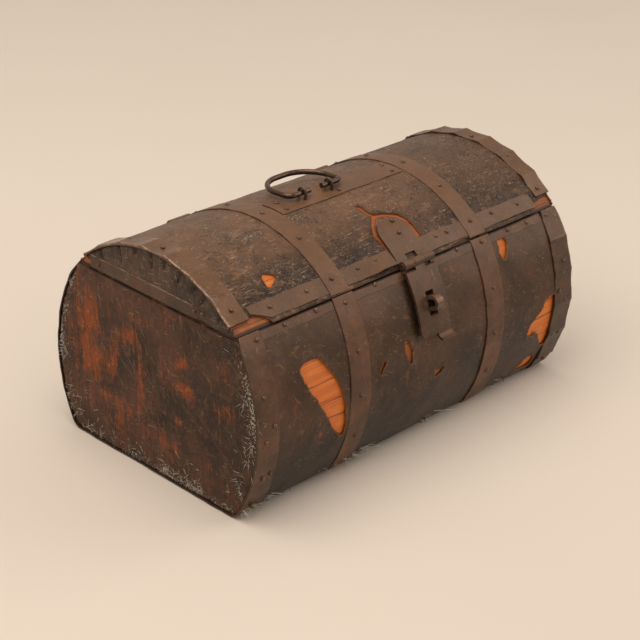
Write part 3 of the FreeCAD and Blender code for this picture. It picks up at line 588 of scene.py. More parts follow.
class Gathered:
    """Closed shapes collected for one piece, with how worn each point is and how dark it is painted, by dirt
    and painted shade.
    """

    def __init__(self):
        self.points, self.faces, self.edge, self.dirt_and_shade = [], [], [], []

    def tube(self, rings, edge, dirt_and_shade=0.0):
        """Rings of points in order along a shape, closed by a face at each end."""
        count, around = rings.shape[:2]
        first = sum(len(points) for points in self.points)
        corner = first + np.arange(count * around).reshape(count, around)
        turned = np.roll(corner, -1, axis=1)
        quads = np.stack([corner[:-1], turned[:-1], turned[1:], corner[1:]], -1).reshape(-1, 4)
        self.faces += quads.tolist() + [corner[0][::-1].tolist(), corner[-1].tolist()]
        self.points.append(rings.reshape(-1, 3))
        self.edge.append(np.broadcast_to(edge, (count, around)).ravel())
        self.dirt_and_shade.append(np.broadcast_to(dirt_and_shade, (count, around)).ravel())

    def make(self, name, body, finish, slot, replaced=()):
        attributes = {"edge": np.concatenate(self.edge), "dirt_and_shade": np.concatenate(self.dirt_and_shade)}
        thing = mesh_piece(name, np.concatenate(self.points), self.faces, attributes)
        dress(thing, body, [finish], replaced)


# %% [markdown]
# ## Tears
# A tear is a closed outline of a few places on the hide, a crack a line of them. What a cut needs is how
# far each place lies from the nearest one, below zero within a tear.

# %% Distances to a tear
FAR = 40.0


def soften(points):
    """Cut the corners of a closed outline, so that a few points give a round tear."""
    ring = np.asarray(points, float)
    after = np.roll(ring, -1, axis=0)
    return np.stack([ring * 0.8 + after * 0.2, ring * 0.2 + after * 0.8], 1).reshape(-1, 2)


def line_gap(u, v, line):
    """How far places lie from a line of points."""
    gap = np.full(np.shape(u), FAR)
    for (u0, v0), (u1, v1) in zip(line[:-1], line[1:]):
        du, dv = u1 - u0, v1 - v0
        share = np.clip(((u - u0) * du + (v - v0) * dv) / (du * du + dv * dv + 1e-9), 0, 1)
        gap = np.minimum(gap, np.hypot(u - u0 - share * du, v - v0 - share * dv))
    return gap


def tear_gap(u, v, points):
    """How far places lie outside a tear; within it the distance is negative."""
    ring = soften(points)
    after = np.roll(ring, -1, axis=0)
    gap = line_gap(u, v, np.vstack([ring, ring[:1]]))
    within = np.zeros(np.shape(u), bool)
    for (u0, v0), (u1, v1) in zip(ring, after):
        if v0 != v1:
            within ^= ((v0 > v) != (v1 > v)) & (u < u0 + (v - v0) * (u1 - u0) / (v1 - v0))
    return np.where(within, -gap, gap)


def tears_gap(u, v, tears, ragged):
    """How far places lie outside the nearest of several tears with ragged edges."""
    return np.minimum(FAR, np.min([tear_gap(u, v, tear) for tear in tears], axis=0) + ragged)


# %% [markdown]
# ## Cutting a sheet
# A torn hide could be cut with booleans, which are slow on fine sheets. Instead each point of a grid knows
# its distance to the nearest tear. Points close to the tear's line are pulled onto it, faces beyond it are
# dropped, and a Solidify modifier gives the rest its thickness, with the torn rim in a finish of its own.

# %% A sheet with tears
PULL = 0.6
FLATTEST = 0.25


def grid_points(*stretches):
    """Places along one side of a grid: stretches of (start, stop, spacing)."""
    rows = [np.linspace(start, stop, max(2, round((stop - start) / spacing) + 1))
            for start, stop, spacing in stretches]
    return np.unique(np.concatenate(rows))


def cut_grid(us, vs, kept):
    """Places, distances and faces of a grid, left open where kept is below zero."""
    u, v = np.meshgrid(us, vs, indexing="ij")
    gap = kept(u, v)
    slope_u, slope_v = np.gradient(gap, us, vs)
    steep = np.maximum(slope_u**2 + slope_v**2, FLATTEST)
    move_u, move_v = -gap * slope_u / steep, -gap * slope_v / steep
    near = ((np.abs(move_u) < PULL * np.gradient(us)[:, None])
            & (np.abs(move_v) < PULL * np.gradient(vs)[None, :]))
    u = np.clip(u + near * move_u, us[0], us[-1])
    v = np.clip(v + near * move_v, vs[0], vs[-1])
    state = np.where(near, 0, np.sign(gap)).ravel()
    index = np.arange(u.size).reshape(u.shape)
    cells = np.stack([index[:-1, :-1], index[1:, :-1], index[1:, 1:], index[:-1, 1:]], -1).reshape(-1, 4)
    cell = state[cells]
    outside = (cell < 0).sum(1)
    whole = cells[(outside == 0) & ((cell.max(1) > 0) | (gap.ravel()[cells].mean(1) > 0))]
    clipped = (outside == 1) & (cell.max(1) > 0)
    corners = cells[clipped][cell[clipped] >= 0].reshape(-1, 3)
    used, renamed = np.unique(np.concatenate([whole.ravel(), corners.ravel()]), return_inverse=True)
    quads = renamed[:whole.size].reshape(-1, 4)
    triangles = renamed[whole.size:].reshape(-1, 3)
    return u.ravel()[used], v.ravel()[used], np.maximum(gap.ravel()[used], 0), quads, triangles


def cut_sheet(name, us, vs, kept, place, height, attributes):
    """A sheet of hide on a surface, which carries its attributes at each point."""
    u, v, gap, quads, triangles = cut_grid(us, vs, kept)
    rise = height(u, v, gap)
    points = place(u, v, rise)
    sample = quads[len(quads) // 2]
    first = sample[0]
    a, b, c = points[sample[[0, 1, 3]]]
    outward = place(u[first], v[first], rise[first] + 1) - a
    if np.dot(np.cross(b - a, c - a), outward) < 0:
        quads, triangles = quads[:, ::-1], triangles[:, ::-1]
    values = {label: shape(u, v) for label, shape in attributes.items()}
    values["torn"] = np.minimum(gap, FAR)
    thing = mesh_piece(name, points, quads.tolist() + triangles.tolist(), values, SHEET_SHARP)
    solid = thing.modifiers.new("thickness", "SOLIDIFY")
    solid.thickness, solid.offset = HIDE_THICK * MM, -1.0
    solid.material_offset_rim = 1
    return thing


# %% [markdown]
# ## The hide round the case
# One hide goes round the front, the underside and the back. Time has torn it: the long tear beside the left
# strap, the one at the right band and several small ones show the boards. Each outline is a handful of
# places along and down the front. The hide lifts a little round its tears and hangs in slow waves. Marks
# and scuffs are soft spots.

# %% Hide of the case
FRONT_TEARS = [
    [(-187, 54), (-180, 48), (-168, 47), (-154, 51), (-137, 76), (-125, 108), (-121, 142), (-125, 150),
     (-141, 133), (-158, 104), (-180, 71)],
    [(-34, 70), (-28, 71), (-21, 87), (-23, 99), (-27, 99), (-34, 83)],
    [(-74, 90), (-69, 81), (-63, 85), (-68, 91), (-72, 97)],
    [(140, 6), (150, 9), (155, 17), (149, 28), (143, 36), (138, 31), (137, 18)],
    [(226, 96), (206, 97), (197, 109), (182, 122), (177, 136), (190, 141), (191, 135), (203, 145),
     (211, 163), (222, 164), (228, 140), (228, 112)],
    [(185, 190), (197, 174), (214, 177), (214, 196), (192, 196)],
    [(13, 118), (21, 122), (32, 120), (28, 128), (19, 132)],
]
RED_MARKS = [(-198, 84, 9, 16, 0.75), (-156, 132, 18, 8, 0.75), (-206, 110, 5, 8, 0.75),
             (-30, 112, 6, 14, 0.75), (60, 20, 30, 8, 0.75)]
# Scuffed spots on the front; the one near the right band is partly a painted sheen.
FRONT_SCUFFS_AND_SHEEN = [(88, 72, 24, 34, 0.3), (203, 44, 12, 34, 0.4)]
RIM_FOLD = 6.0
HASP_SHADOW = 5.0
FRONT_GRID, FOOT_GRID, UNDER_GRID, BACK_GRID = 1.6, 1.0, 8.0, 3.0


def rim_fold(distance):
    """How far the hide has turned in over a rim, at a distance from it."""
    return np.clip(1 - distance / RIM_FOLD, 0, 1) ** 2


def front_kept(u, v):
    return tears_gap(u, v, FRONT_TEARS, 1.3 * ripple(u, v, 6, 3))


def front_height(u, v, gap):
    to_rim = np.minimum(v, case_side.length - v)
    lift = 1.5 * np.exp(-gap / 3.5) * (0.45 + 0.55 * ripple(u, v, 14, 5)) * step(4, 14, to_rim)
    waves = (0.6 * ripple(u, v, 55, 6) + 0.2 * ripple(u, v, 13, 7)) * step(6, 30, to_rim)
    return HIDE_TOP + waves + np.maximum(lift, -0.2) - 1.9 * rim_fold(to_rim + 1.2 * ripple(u, 0, 9, 4))


def front_scuffs_and_sheen(u, v):
    """Fine scratches beside the hasp, and a scuffed stretch near the right band whose pale streaks are
    partly a painted sheen.
    """
    return spots(u, v, FRONT_SCUFFS_AND_SHEEN)


def front_painted_shade(u, v):
    """Painted shade low on the front, where the belly turns down, and a painted shadow beside the hasp's
    left edge.
    """
    hasp_turn = math.asin((low("hasp").z - BELLY_HEIGHT) / BELLY_RADIUS)
    hasp_foot = BELLY_RADIUS * (rim_turn - hasp_turn)
    # A painted shadow along the hasp's left edge, which stands off the front.
    beside = np.exp(-((u - low("hasp").x) / HASP_SHADOW)**2)
    beside = beside * step(2, 14, v) * step(hasp_foot + 4, hasp_foot - 8, v)
    return np.minimum(0.75 * step(80, 165, v) + 1.1 * beside, 1.1)


def front_rot(u, v):
    """Faint red marks, most of them beside the long tear."""
    return 0.2 * ripple(u, v, 60, 8) - 0.45 + spots(u, v, RED_MARKS)


underside = front_depth + corner_length
back = underside + 2 * foot
hide_columns = grid_points((-half_length, half_length, FRONT_GRID))
hide_rows = grid_points(
    (0, front_depth, FRONT_GRID), (front_depth, underside, FOOT_GRID), (underside, back, UNDER_GRID),
    (back, back + corner_length, FOOT_GRID), (back + corner_length, case_side.length, BACK_GRID))
cover = cut_sheet("case_wrap", hide_columns, hide_rows, front_kept, case_side, front_height,
                  {"rot": front_rot, "bare": front_scuffs_and_sheen, "darkening": front_painted_shade})
dress(cover, "case", [front_hide, hide_edge], ["case_hide"])

# %% [markdown]
# ## The hide over the lid
# The lid's hide is one sheet from rim to rim. It has shrunk away from the hasp's leaf, which leaves a forked
# crack round the leaf's arch, and it is gone at the corners of the front rim. A crack is a line with an
# uneven width, and the hide sinks towards it.

# %% Hide of the lid
LID_TEARS = [
    [(-178, 51), (-160, 43), (-181, 31)],
    [(-258, -4), (-258, 9), (-236, 13), (-213, 12), (-199, 3), (-203, -4)],
    [(210, -4), (214, 8), (230, 12), (258, 14), (258, -4)],
    [(58, -4), (70, 2), (92, 3.5), (112, 3), (122, -4)],
]
LID_CRACKS = [
    [(-3, 84), (0, 72), (3, 65), (-9, 54), (-16, 42), (-14, 28)],
    [(3, 65), (18, 62), (30, 56), (37, 46), (37, 34), (37, 22)],
]
CRACK_WIDTH = 2.3
LID_FLAKES = [(-78, 100, 34, 16, 1.0), (-140, 96, 30, 14, 1.0)]
LID_FINE_SHARE, LID_BACK_GRID = 0.62, 2.4


def lid_kept(u, v):
    gap = tears_gap(u, v, LID_TEARS, 0.8 * ripple(u, v, 5, 13))
    frayed = 0.9 * ripple(u, v, 9, 15)
    for crack in LID_CRACKS:
        gap = np.minimum(gap, line_gap(u, v, crack) - CRACK_WIDTH + frayed)
    return gap


def lid_height(u, v, gap):
    to_rim = np.minimum(v, lid_side.length - v)
    sunk = np.exp(-gap / 2.5) * (0.9 + 0.4 * ripple(u, v, 12, 16)) * step(4, 14, to_rim)
    waves = 0.6 * ripple(u, v, 60, 17) + 0.3 * ripple(u, v, 16, 18) + 0.14 * ripple(u, v, 5, 19)
    waves = waves * step(10, 42, to_rim)
    flare = (1.3 + 0.9 * ripple(u, 0, 21, 14)) * rim_fold(to_rim)
    return np.maximum(HIDE_TOP + waves - sunk, 0.5) + flare


def lid_rot(u, v):
    return 0.3 * ripple(u, v, 50, 20) - 0.35


def lid_bare(u, v):
    """Where the grain has flaked off: on both sides of the left strap, and here and there."""
    beside = np.minimum(spots(u, v, LID_FLAKES), 1)
    elsewhere = step(0.35, 0.8, ripple(u, v, 40, 22))
    return 0.75 * beside * step(-0.5, 0.4, ripple(u, v, 12, 21)) + 0.4 * elsewhere


def lid_darkening(u, v):
    """The lid is darker towards its right end."""
    return 0.4 * step(30, 190, u)


fine_rows = LID_FINE_SHARE * lid_side.length
lid_rows = grid_points((0, fine_rows, FRONT_GRID), (fine_rows, lid_side.length, LID_BACK_GRID))
cover = cut_sheet("lid_wrap", hide_columns, lid_rows, lid_kept, lid_side, lid_height,
                  {"rot": lid_rot, "bare": lid_bare, "darkening": lid_darkening})
dress(cover, "lid", [lid_hide, hide_edge], ["lid_hide"])

# %% [markdown]
# ## The hide on the ends
# The ends are covered by separate pieces whose edges turn over the corners, so their border rounds off and
# is lumpy. Red rot shows as patches, given here as a few soft spots. The right end has half of them.

# %% Hides of the case's ends
ROT_SPOTS = [(100, 145, 17, 36, 0.8), (98, 95, 24, 32, 0.75), (62, 105, 9, 24, 0.7), (40, 140, 16, 10, 0.55),
             (20, 100, 7, 24, 0.6), (-43, 144, 8, 9, 1.1), (-48, 115, 11, 10, 1.2), (-37, 76, 8, 6, 0.8),
             (-30, 43, 18, 5, 0.5), (-84, 42, 14, 5, 0.45), (-105, 112, 10, 9, 0.5), (60, 60, 22, 6, 0.55)]
END_ROUND = 6.0
END_MARGIN, END_GRID = 40.0, 2.0


def end_kept(seed, u, v):
    reach = BELLY_RADIUS + HIDE_TOP
    gap = np.minimum(reach - np.hypot(u - belly_offset, v - BELLY_HEIGHT),
                     reach - np.hypot(u + belly_offset, v - BELLY_HEIGHT))
    gap = np.minimum(gap, v - base + HIDE_TOP)
    return np.minimum(gap + 0.5 * ripple(u, v, 9, seed), rim - 2.4 - v + 0.9 * ripple(u, 0, 8, seed))


def end_height(seed, u, v, gap):
    border = np.clip(1 - gap / END_ROUND, 0, 1) * step(0, 12, rim - v)
    waves = 0.5 * ripple(u, v, 40, seed) + 0.3 * ripple(u, v, 10, seed + 1)
    lumps = 0.8 * ripple(u, v, 7, seed + 2) * step(26, 8, gap)
    return HIDE_TOP + waves + lumps - 2.6 * border**2


def end_rot(seed, places, u, v):
    return 0.35 * ripple(u, v, 38, seed) + spots(u, v, places)


def end_bare(seed, u, v):
    """Where hair and pale skin are left: along the border, in patches."""
    gap = end_kept(seed, u, v) + 3.0 * ripple(u, v, 12, seed + 6)
    low_border = step(rim - 2, rim - 40, v)
    return step(20, 3, gap) * low_border * step(-0.5, 0.3, ripple(u, v, 34, seed + 7))


end_columns = grid_points((-half_rim - END_MARGIN, half_rim + END_MARGIN, END_GRID))
end_rows = grid_points((base - HIDE_TOP, rim, END_GRID))
for side, name, seed, rotten in ((-1, "left", 31, ROT_SPOTS), (1, "right", 41, ROT_SPOTS[1::2])):
    cover = cut_sheet(f"{name}_end_cover", end_columns, end_rows, partial(end_kept, seed), end_face(side),
                      partial(end_height, seed),
                      {"rot": partial(end_rot, seed, rotten), "bare": partial(end_bare, seed)})
    dress(cover, "case", [end_hide, hide_edge], [f"{name}_end_hide"])

# %% [markdown]
# ### The lid's ends
# On the lid's ends the hide is pulled in under the band. That leaves a few short folds at set places along
# the dome, each with its own reach and darkened with painted shade, and the hide swells between them. The
# back corner is bare.

# %% Hides of the lid's ends
BARE_CORNER = [(84, 194), (90, 201), (99, 206), (108, 213), (120, 206), (120, 194)]
PLEAT_WIDTH = 2.2
PLEATS = [(24, 9), (50, 20), (66, 12), (88, 26), (112, 14), (131, 24), (158, 12), (181, 22), (214, 14),
          (236, 20)]
LID_END_MARGIN, LID_END_GRID = 3.0, 1.5


def lid_end_kept(seed, u, v):
    gap = lid_radius + HIDE_TOP - np.hypot(u, v - lid_centre)
    gap = np.minimum(gap, tear_gap(u, v, BARE_CORNER) + 0.7 * ripple(u, v, 5, seed + 1))
    return np.minimum(gap, v - lid_rim - 1.0 + 0.9 * ripple(u, 0, 8, seed))


def band_depth(u, v):
    """How far a place on a lid end lies below the dome."""
    return lid_radius - np.hypot(u, v - lid_centre)


def pleats(seed, u, v):
    """How far a place lies in a fold, from 0 to 1."""
    turn, depth = np.arctan2(v - lid_centre, u), band_depth(u, v)
    along = (math.pi - lid_turn - turn) * lid_radius + 3.0 * ripple(u, v, 16, seed + 3)
    folds = 0.0
    for place, reach in PLEATS:
        width = PLEAT_WIDTH * np.clip(1.2 - depth / reach, 0.2, 1.2)
        folds = folds + np.exp(-((along - place) / width)**2) * step(reach, 0.4 * reach, depth)
    return np.minimum(folds, 1)


def lid_end_height(seed, u, v, gap):
    depth = band_depth(u, v)
    border = np.clip(1 - (depth + HIDE_TOP) / 4, 0, 1)
    swell = 0.6 * np.sin(np.clip(depth / 30, 0, 1) * math.pi) + 0.7 * ripple(u, v, 19, seed)
    pulled = HIDE_TOP + 0.1 + swell + 0.55 * ripple(u, v, 8, seed + 2)
    pulled = pulled - 2.6 * pleats(seed, u, v) - 1.4 * border**2
    return np.maximum(pulled, 0.5 + 0.2 * ripple(u, v, 4, seed + 4))


def lid_end_rot(u, v):
    return 0.2 * ripple(u, v, 40, 35) - 0.6


lid_end_columns = grid_points((-half_rim - LID_END_MARGIN, half_rim + LID_END_MARGIN, LID_END_GRID))
lid_end_rows = grid_points((lid_rim, ridge + HIDE_TOP + 1, LID_END_GRID))
for side, name, seed in ((-1, "left", 36), (1, "right", 46)):
    cover = cut_sheet(f"{name}_lid_end_cover", lid_end_columns, lid_end_rows, partial(lid_end_kept, seed),
                      end_face(side), partial(lid_end_height, seed),
                      # The folds also give the darkening: painted shade in them.
                      {"rot": lid_end_rot, "darkening": partial(pleats, seed)})
    dress(cover, "lid", [gathered_hide, hide_edge], [f"{name}_lid_end_hide"])

# %% [markdown]
# ## Iron straps, bands and strips
# All the thin iron is one kind of work: a strip cut by hand, so its edges wander, and hammered onto the
# hide, so its face is dented. A strip is a row of rings, each ring a section with worn corners. Some bands
# were hammered round in flats, so their height rises between one flat and the next.

# %% A hammered strip
WORN_CORNER = 0.6
STATION = 2.5
FLATNESS = 1.6
BRIGHTER = 0.4
KNUCKLE_RADIUS, KNUCKLE_SIDES = 5.0, 18
hinge = joints["lid_hinge"]


def flats(along, kinked, radius, flatness):
    """How far a strip stands off the round where rows of kinks mark its flats."""
    rise = np.zeros(len(along))
    for kinks in kinked:
        for start, stop in zip(kinks[:-1], kinks[1:]):
            on = (along >= start) & (along <= stop)
            turn = (along[on] - (start + stop) / 2) / radius
            rise[on] = flatness * radius * (1 / np.cos(turn) - 1)
    return rise


def hammered(work, place, span, edges, seed, top=IRON_TOP, ragged=0.6, dents=0.3, kinked=(),
             radius=BELLY_RADIUS, flatness=FLATNESS, bend=None, bright=()):
    """A strip on a surface, from its span along it and its two edges."""
    start, stop = span
    extra = [start + WORN_CORNER, stop - WORN_CORNER, stop]
    extra += [kink for kinks in kinked for kink in kinks if start < kink < stop]
    along = np.unique(np.concatenate([np.arange(start, stop, STATION), extra]))
    left, right = (edge(along) if callable(edge) else edge for edge in edges)
    left = left + ragged * ripple(along, 0, 22, seed)
    right = right + ragged * ripple(along, 0, 22, seed + 1)
    shares = np.array([0, 0, 0, 0.25, 0.5, 0.75, 1, 1, 1])
    inset = np.array([0, 0, 1, 0, 0, 0, -1, 0, 0]) * WORN_CORNER
    on_top = np.array([0, 1, 1, 1, 1, 1, 1, 1, 0])
    worn = np.array([0, 1, 0, 0, 0, 0, 0, 1, 0]) * WORN_CORNER
    across = left[:, None] + (right - left)[:, None] * shares + inset
    level = top + dents * ripple(along[:, None], across, 17, seed + 2)
    level = level + flats(along, kinked, radius, flatness)[:, None]
    level[[0, -1]] -= WORN_CORNER
    height = np.where(on_top, level - worn, IRON_BASE)
    if bend:
        height = height + bend(along[:, None], shares)
    edge = np.broadcast_to([0.6, 1, 1, 0, 0, 0, 1, 1, 0.6], height.shape).copy()
    edge[[0, 1, -2, -1]] = 1
    # Dirt and painted shade along the sides, heavier on the low side, where a dark gap line shows.
    dirt_and_shade = np.array([0.9, 0.65, 0.4, 0, 0, 0, 0.1, 0.35, 0.9])
    # Named edges are paler and clean: rubbed metal, and on the left lid band's outer fold a painted
    # highlight.
    edge[:, [1, 2]] += BRIGHTER * ("low" in bright)
    edge[:, [6, 7]] += BRIGHTER * ("high" in bright)
    dirt_and_shade[:3] *= "low" not in bright
    dirt_and_shade[6:] *= "high" not in bright
    work.tube(place(along[:, None], across, height), edge, dirt_and_shade)


def barrel(work, start, stop):
    """A rolled hinge knuckle along X, with worn ends."""
    turn = np.linspace(0, 2 * math.pi, KNUCKLE_SIDES, endpoint=False)
    stations = np.array([start, start + WORN_CORNER, stop - WORN_CORNER, stop])
    reach = KNUCKLE_RADIUS - np.array([WORN_CORNER, 0, 0, WORN_CORNER])
    y = hinge.y + reach[:, None] * np.cos(turn)
    z = hinge.z + reach[:, None] * np.sin(turn)
    work.tube(np.stack(np.broadcast_arrays(stations[:, None], y, z), -1) * MM, 0.3)


def iron_piece(node, body, finish, place, span, edges, seed, knuckles=(), **how):
    """A strip that stands for a frame piece, with the knuckles that are rolled from it."""
    work = Gathered()
    hammered(work, place, span, edges, seed, **how)
    for start, stop in knuckles:
        barrel(work, start, stop)
    work.make(node + "_iron", body, finish, "strap_iron", [node])


print("strips are", IRON_TOP - IRON_BASE, "mm deep, with a ring every", STATION, "mm")

# %% [markdown]
# ### Straps with their hinges
# Two straps go all round the case and end at the back in rolled knuckles; two lighter ones lie over the lid
# with the third knuckle between. The knuckles keep the frame's axis, so the lid turns where it should.

# %% Straps
KNUCKLE_GAP = 0.4
STRAP_END = 0.8
round_case = (STRAP_END, case_side.length - STRAP_END)
round_lid = (STRAP_END, lid_side.length - STRAP_END)
for name, seed in (("left", 51), ("right", 61)):
    node = f"{name}_case_strap"
    start, stop = low(node).x, high(node).x
    third = (stop - start) / 3
    iron_piece(node, "case", strap_iron, case_side.wound, round_case, (start, stop), seed,
               knuckles=[(start, start + third), (stop - third, stop)])
    node = f"{name}_lid_strap"
    iron_piece(node, "lid", strap_iron, lid_side.wound, round_lid, (low(node).x, high(node).x), seed + 4,
               knuckles=[(start + third + KNUCKLE_GAP, stop - third - KNUCKLE_GAP)])

# %% [markdown]
# ### Bands at the ends
# The corner bands show their hammering most: between the kinks lie flats of about 35 mm, on all but the
# left band of the case, which lies round. The lid's bands stop short of the rim, so the corners of the
# boards show below them.

# %% Bands
FRONT_KINKS = [0, 36, 74, 110, 148, 186, front_depth]
LID_KINKS = [8, 43, 77, 111, 145, 178, 212, 243]
LID_FLATNESS = 2.2
LID_BAND_ENDS = {"left": 11.0, "right": 15.0}
LID_BAND_WIDTHS = {"left": 27.0, "right": 24.0}
LID_BAND_BACK = 12.0
CASE_BAND_WIDTH = 31.0
BAND_RAGGED = 0.8
RIM_INSET, RIM_DRAW, RIM_DRAW_LENGTH = 0.7, 4.5, 24.0
band_edge = high("right_case_band").x
back_kinks = [case_side.length - kink for kink in FRONT_KINKS[::-1]]


def band_rim(side, along):
    """The outer edge of a case band, which draws in towards the rim."""
    to_rim = np.minimum(along, case_side.length - along)
    return side * (band_edge - RIM_INSET - RIM_DRAW * np.clip(1 - to_rim / RIM_DRAW_LENGTH, 0, 1)**2)


for name, side, seed in (("left", -1, 71), ("right", 1, 81)):
    left = side < 0
    edges = [partial(band_rim, side), side * (band_edge - CASE_BAND_WIDTH)][::-side]
    # The right case band takes the darker strip iron: painted shade, so it stays dark under the side lamp.
    iron_piece(f"{name}_case_band", "case", band_iron if left else strip_iron, case_side.wound, round_case,
               edges, seed, ragged=BAND_RAGGED, dents=0.6,
               kinked=() if left else (FRONT_KINKS, back_kinks), bright=() if left else ("high",))
    edges = sorted((side * band_edge, side * (band_edge - LID_BAND_WIDTHS[name])))
    # The left lid band takes the lighter satin iron: painted light.
    iron_piece(f"{name}_lid_band", "lid", sunlit_lid_band_iron if left else band_iron, lid_side.wound,
               (LID_BAND_ENDS[name], lid_side.length - LID_BAND_BACK), edges, seed + 4, ragged=BAND_RAGGED,
               dents=0.45, kinked=(LID_KINKS,), radius=lid_radius, flatness=LID_FLATNESS,
               bright=("low",) if left else ("high",))

# %% [markdown]
# ### Strips at the rims and on the ridge
# Narrow strips hold the hide's edges at both rims, between the straps, and a short wide one lies along the
# ridge under the bail. On the lid's ends a strip with a pale worn edge pins the gathered hide.

# %% Strips
CASE_STRIPS = ["left_case_rim_strip", "middle_case_rim_strip", "right_case_rim_strip"]
LID_STRIPS = [f"lid_rim_strip_{number}" for number in (1, 2, 3, 4)]
CASE_STRIP = (2.4, 12.0)
LID_STRIP = (4.0, 24.0)
END_STRIP = (-62.0, 96.0)
END_STRIP_TRIM = 2.0
STRIP_TOP = 2.55
END_STRIP_TOP = STRIP_TOP + 0.6
RIDGE_TOP = IRON_TOP + 0.2
STRIP_TUCK = 3.2
CORNER_WEAR, CORNER_STOP, CORNER_LENGTH = 10.0, -197.0, 22.0
LIP_PLACE, LIP_WIDTH, LIP_RISE = -36.0, 20.0, 4.5


def rim_lip(along, share):
    """The lower edge of a rim strip, bent away from the hide, most of all beside the hasp."""
    wave = 0.7 + 0.8 * ripple(along, 0, 22, 111)
    lip = LIP_RISE * np.exp(-((along - LIP_PLACE) / LIP_WIDTH)**2) * (1 + 0.4 * ripple(along, 0, 9, 112))
    return (1 - share)**1.5 * (wave + lip)


def tucked(node):
    """The span of a strip whose ends run in under its neighbours."""
    return low(node).x - STRIP_TUCK, high(node).x + STRIP_TUCK


def worn_corner(along):
    """The lower edge of the lid's strips, worn away towards the left front corner."""
    return LID_STRIP[0] + CORNER_WEAR * np.clip((CORNER_STOP - along) / CORNER_LENGTH, 0, 1)


for number, node in enumerate(CASE_STRIPS):
    iron_piece(node, "case", strip_iron, case_side, tucked(node), CASE_STRIP, 91 + 3 * number,
               top=STRIP_TOP, ragged=0.5, dents=0.25)
for number, node in enumerate(LID_STRIPS):
    iron_piece(node, "lid", strip_iron, lid_side, tucked(node), (worn_corner, LID_STRIP[1]),
               106 + 3 * number, top=STRIP_TOP, ragged=0.9, dents=0.35, bend=rim_lip)
for side, node, seed in ((-1, "left_lid_end_strip", 121), (1, "right_lid_end_strip", 125)):
    iron_piece(node, "lid", strip_iron, end_face(side), END_STRIP,
               (low(node).z, high(node).z - END_STRIP_TRIM), seed,
               top=END_STRIP_TOP, ragged=0.7, dents=0.4, bright=("high",))
ridge_place = lid_side.length / 2
ridge_half = (high("ridge_strap").y - low("ridge_strap").y) / 2
iron_piece("ridge_strap", "lid", strap_iron, lid_side, (low("ridge_strap").x, high("ridge_strap").x),
           (ridge_place - ridge_half, ridge_place + ridge_half), 131,
           top=RIDGE_TOP, ragged=0.7, dents=0.35)

# %% [markdown]
# ## Nails
# Hand-made nails with flat domed heads of 5 to 6 mm hold all the iron. Each head is five rings of ten
# points with an uneven rim. A nail is driven through the iron, so its head starts a little inside it.

# %% A nail
NAIL_RADIUS = 2.6
NAIL_POINTS = 10
NAIL_STEP = 48.0
NAIL_STRAY = 1.5
NAIL_TILT = 0.12
NAIL_RINGS = ((0.9, -1.0), (1.0, 0.3), (0.88, 1.1), (0.55, 1.8), (0.2, 2.0))
NAIL_WEAR = np.array([0.2, 0.9, 0.5, 0.6, 0.6])[:, None]
nail_dice = np.random.default_rng(7)


def nail(work, place, u, v, level):
    """One head on a surface, with its foot below the given height."""
    u = u + nail_dice.uniform(-NAIL_STRAY, NAIL_STRAY)
    v = v + nail_dice.uniform(-NAIL_STRAY, NAIL_STRAY)
    turn = np.linspace(0, 2 * math.pi, NAIL_POINTS, endpoint=False)
    reach = NAIL_RADIUS * nail_dice.uniform(0.85, 1.1) * nail_dice.uniform(0.9, 1.1, NAIL_POINTS)
    tilt = nail_dice.uniform(-NAIL_TILT, NAIL_TILT, 2)
    rings = []
    for share, rise in NAIL_RINGS:
        du, dv = share * reach * np.cos(turn), share * reach * np.sin(turn)
        lean = (tilt[0] * du + tilt[1] * dv) * (rise > 0)
        rings.append(place(u + du, v + dv, level + rise + lean))
    work.tube(np.stack(rings), NAIL_WEAR)


def nail_row(work, place, start, stop, across, level, lengthwise=True):
    """Nails at even steps on a strip that runs along the first or the second measure of a surface."""
    count = max(1, round((stop - start) / NAIL_STEP))
    for share in np.linspace(0, 1, count + 1):
        spot = start + (stop - start) * share
        nail(work, place, *((spot, across) if lengthwise else (across, spot)), level)


print("a nail head is", 2 * NAIL_RADIUS, "mm wide, and rows have one every", NAIL_STEP, "mm or so")

# %% [markdown]
# ### Driving the nails
# Straps, strips and the lid's bands have nails in rows. On the case's bands, the ridge, the leaf and the
# end strips each nail has its own place. The nails of one body are one piece.

# %% Nails of the case and the lid
STRAP_ROW, STRAP_BACK, LID_STRAP_ROW = (8, 158), (50, 22), (17, 22)
BAND_INNER, BAND_OUTER, BAND_MARGIN = 24, 13, 25
BAND_NAILS = [(8, BAND_INNER), (62, BAND_OUTER), (95, BAND_INNER), (110, BAND_OUTER), (150, BAND_INNER),
              (152, BAND_OUTER), (192, BAND_OUTER)]
BAND_LEVEL = IRON_TOP + 0.3
CASE_STRIP_ROW, CASE_STRIP_LINE = (30, 22), 5.5
LID_STRIP_ROW, LID_STRIP_LINE = (22, 22), 17
END_NAILS = [END_STRIP[0] + 5, END_STRIP[0] - 8, END_STRIP[1] - 12]
END_LEVEL = STRIP_TOP + 0.3
RIDGE_NAILS, RIDGE_LINE, RIDGE_SHIFT = (-76, 2, 86), 9, 3
LEAF_NAILS = [(12, 36), (17, 51)]
LEAF_TOP = 5.2
case_nails, lid_nails = Gathered(), Gathered()
back_foot = case_side.length - front_depth
for node in ("left_case_strap", "right_case_strap"):
    middle = (low(node).x + high(node).x) / 2
    nail_row(case_nails, case_side, *STRAP_ROW, middle, IRON_TOP, False)
    nail_row(case_nails, case_side, back_foot + STRAP_BACK[0], case_side.length - STRAP_BACK[1], middle,
             IRON_TOP, False)
    nail_row(lid_nails, lid_side, LID_STRAP_ROW[0], lid_side.length - LID_STRAP_ROW[1], middle,
             IRON_TOP, False)
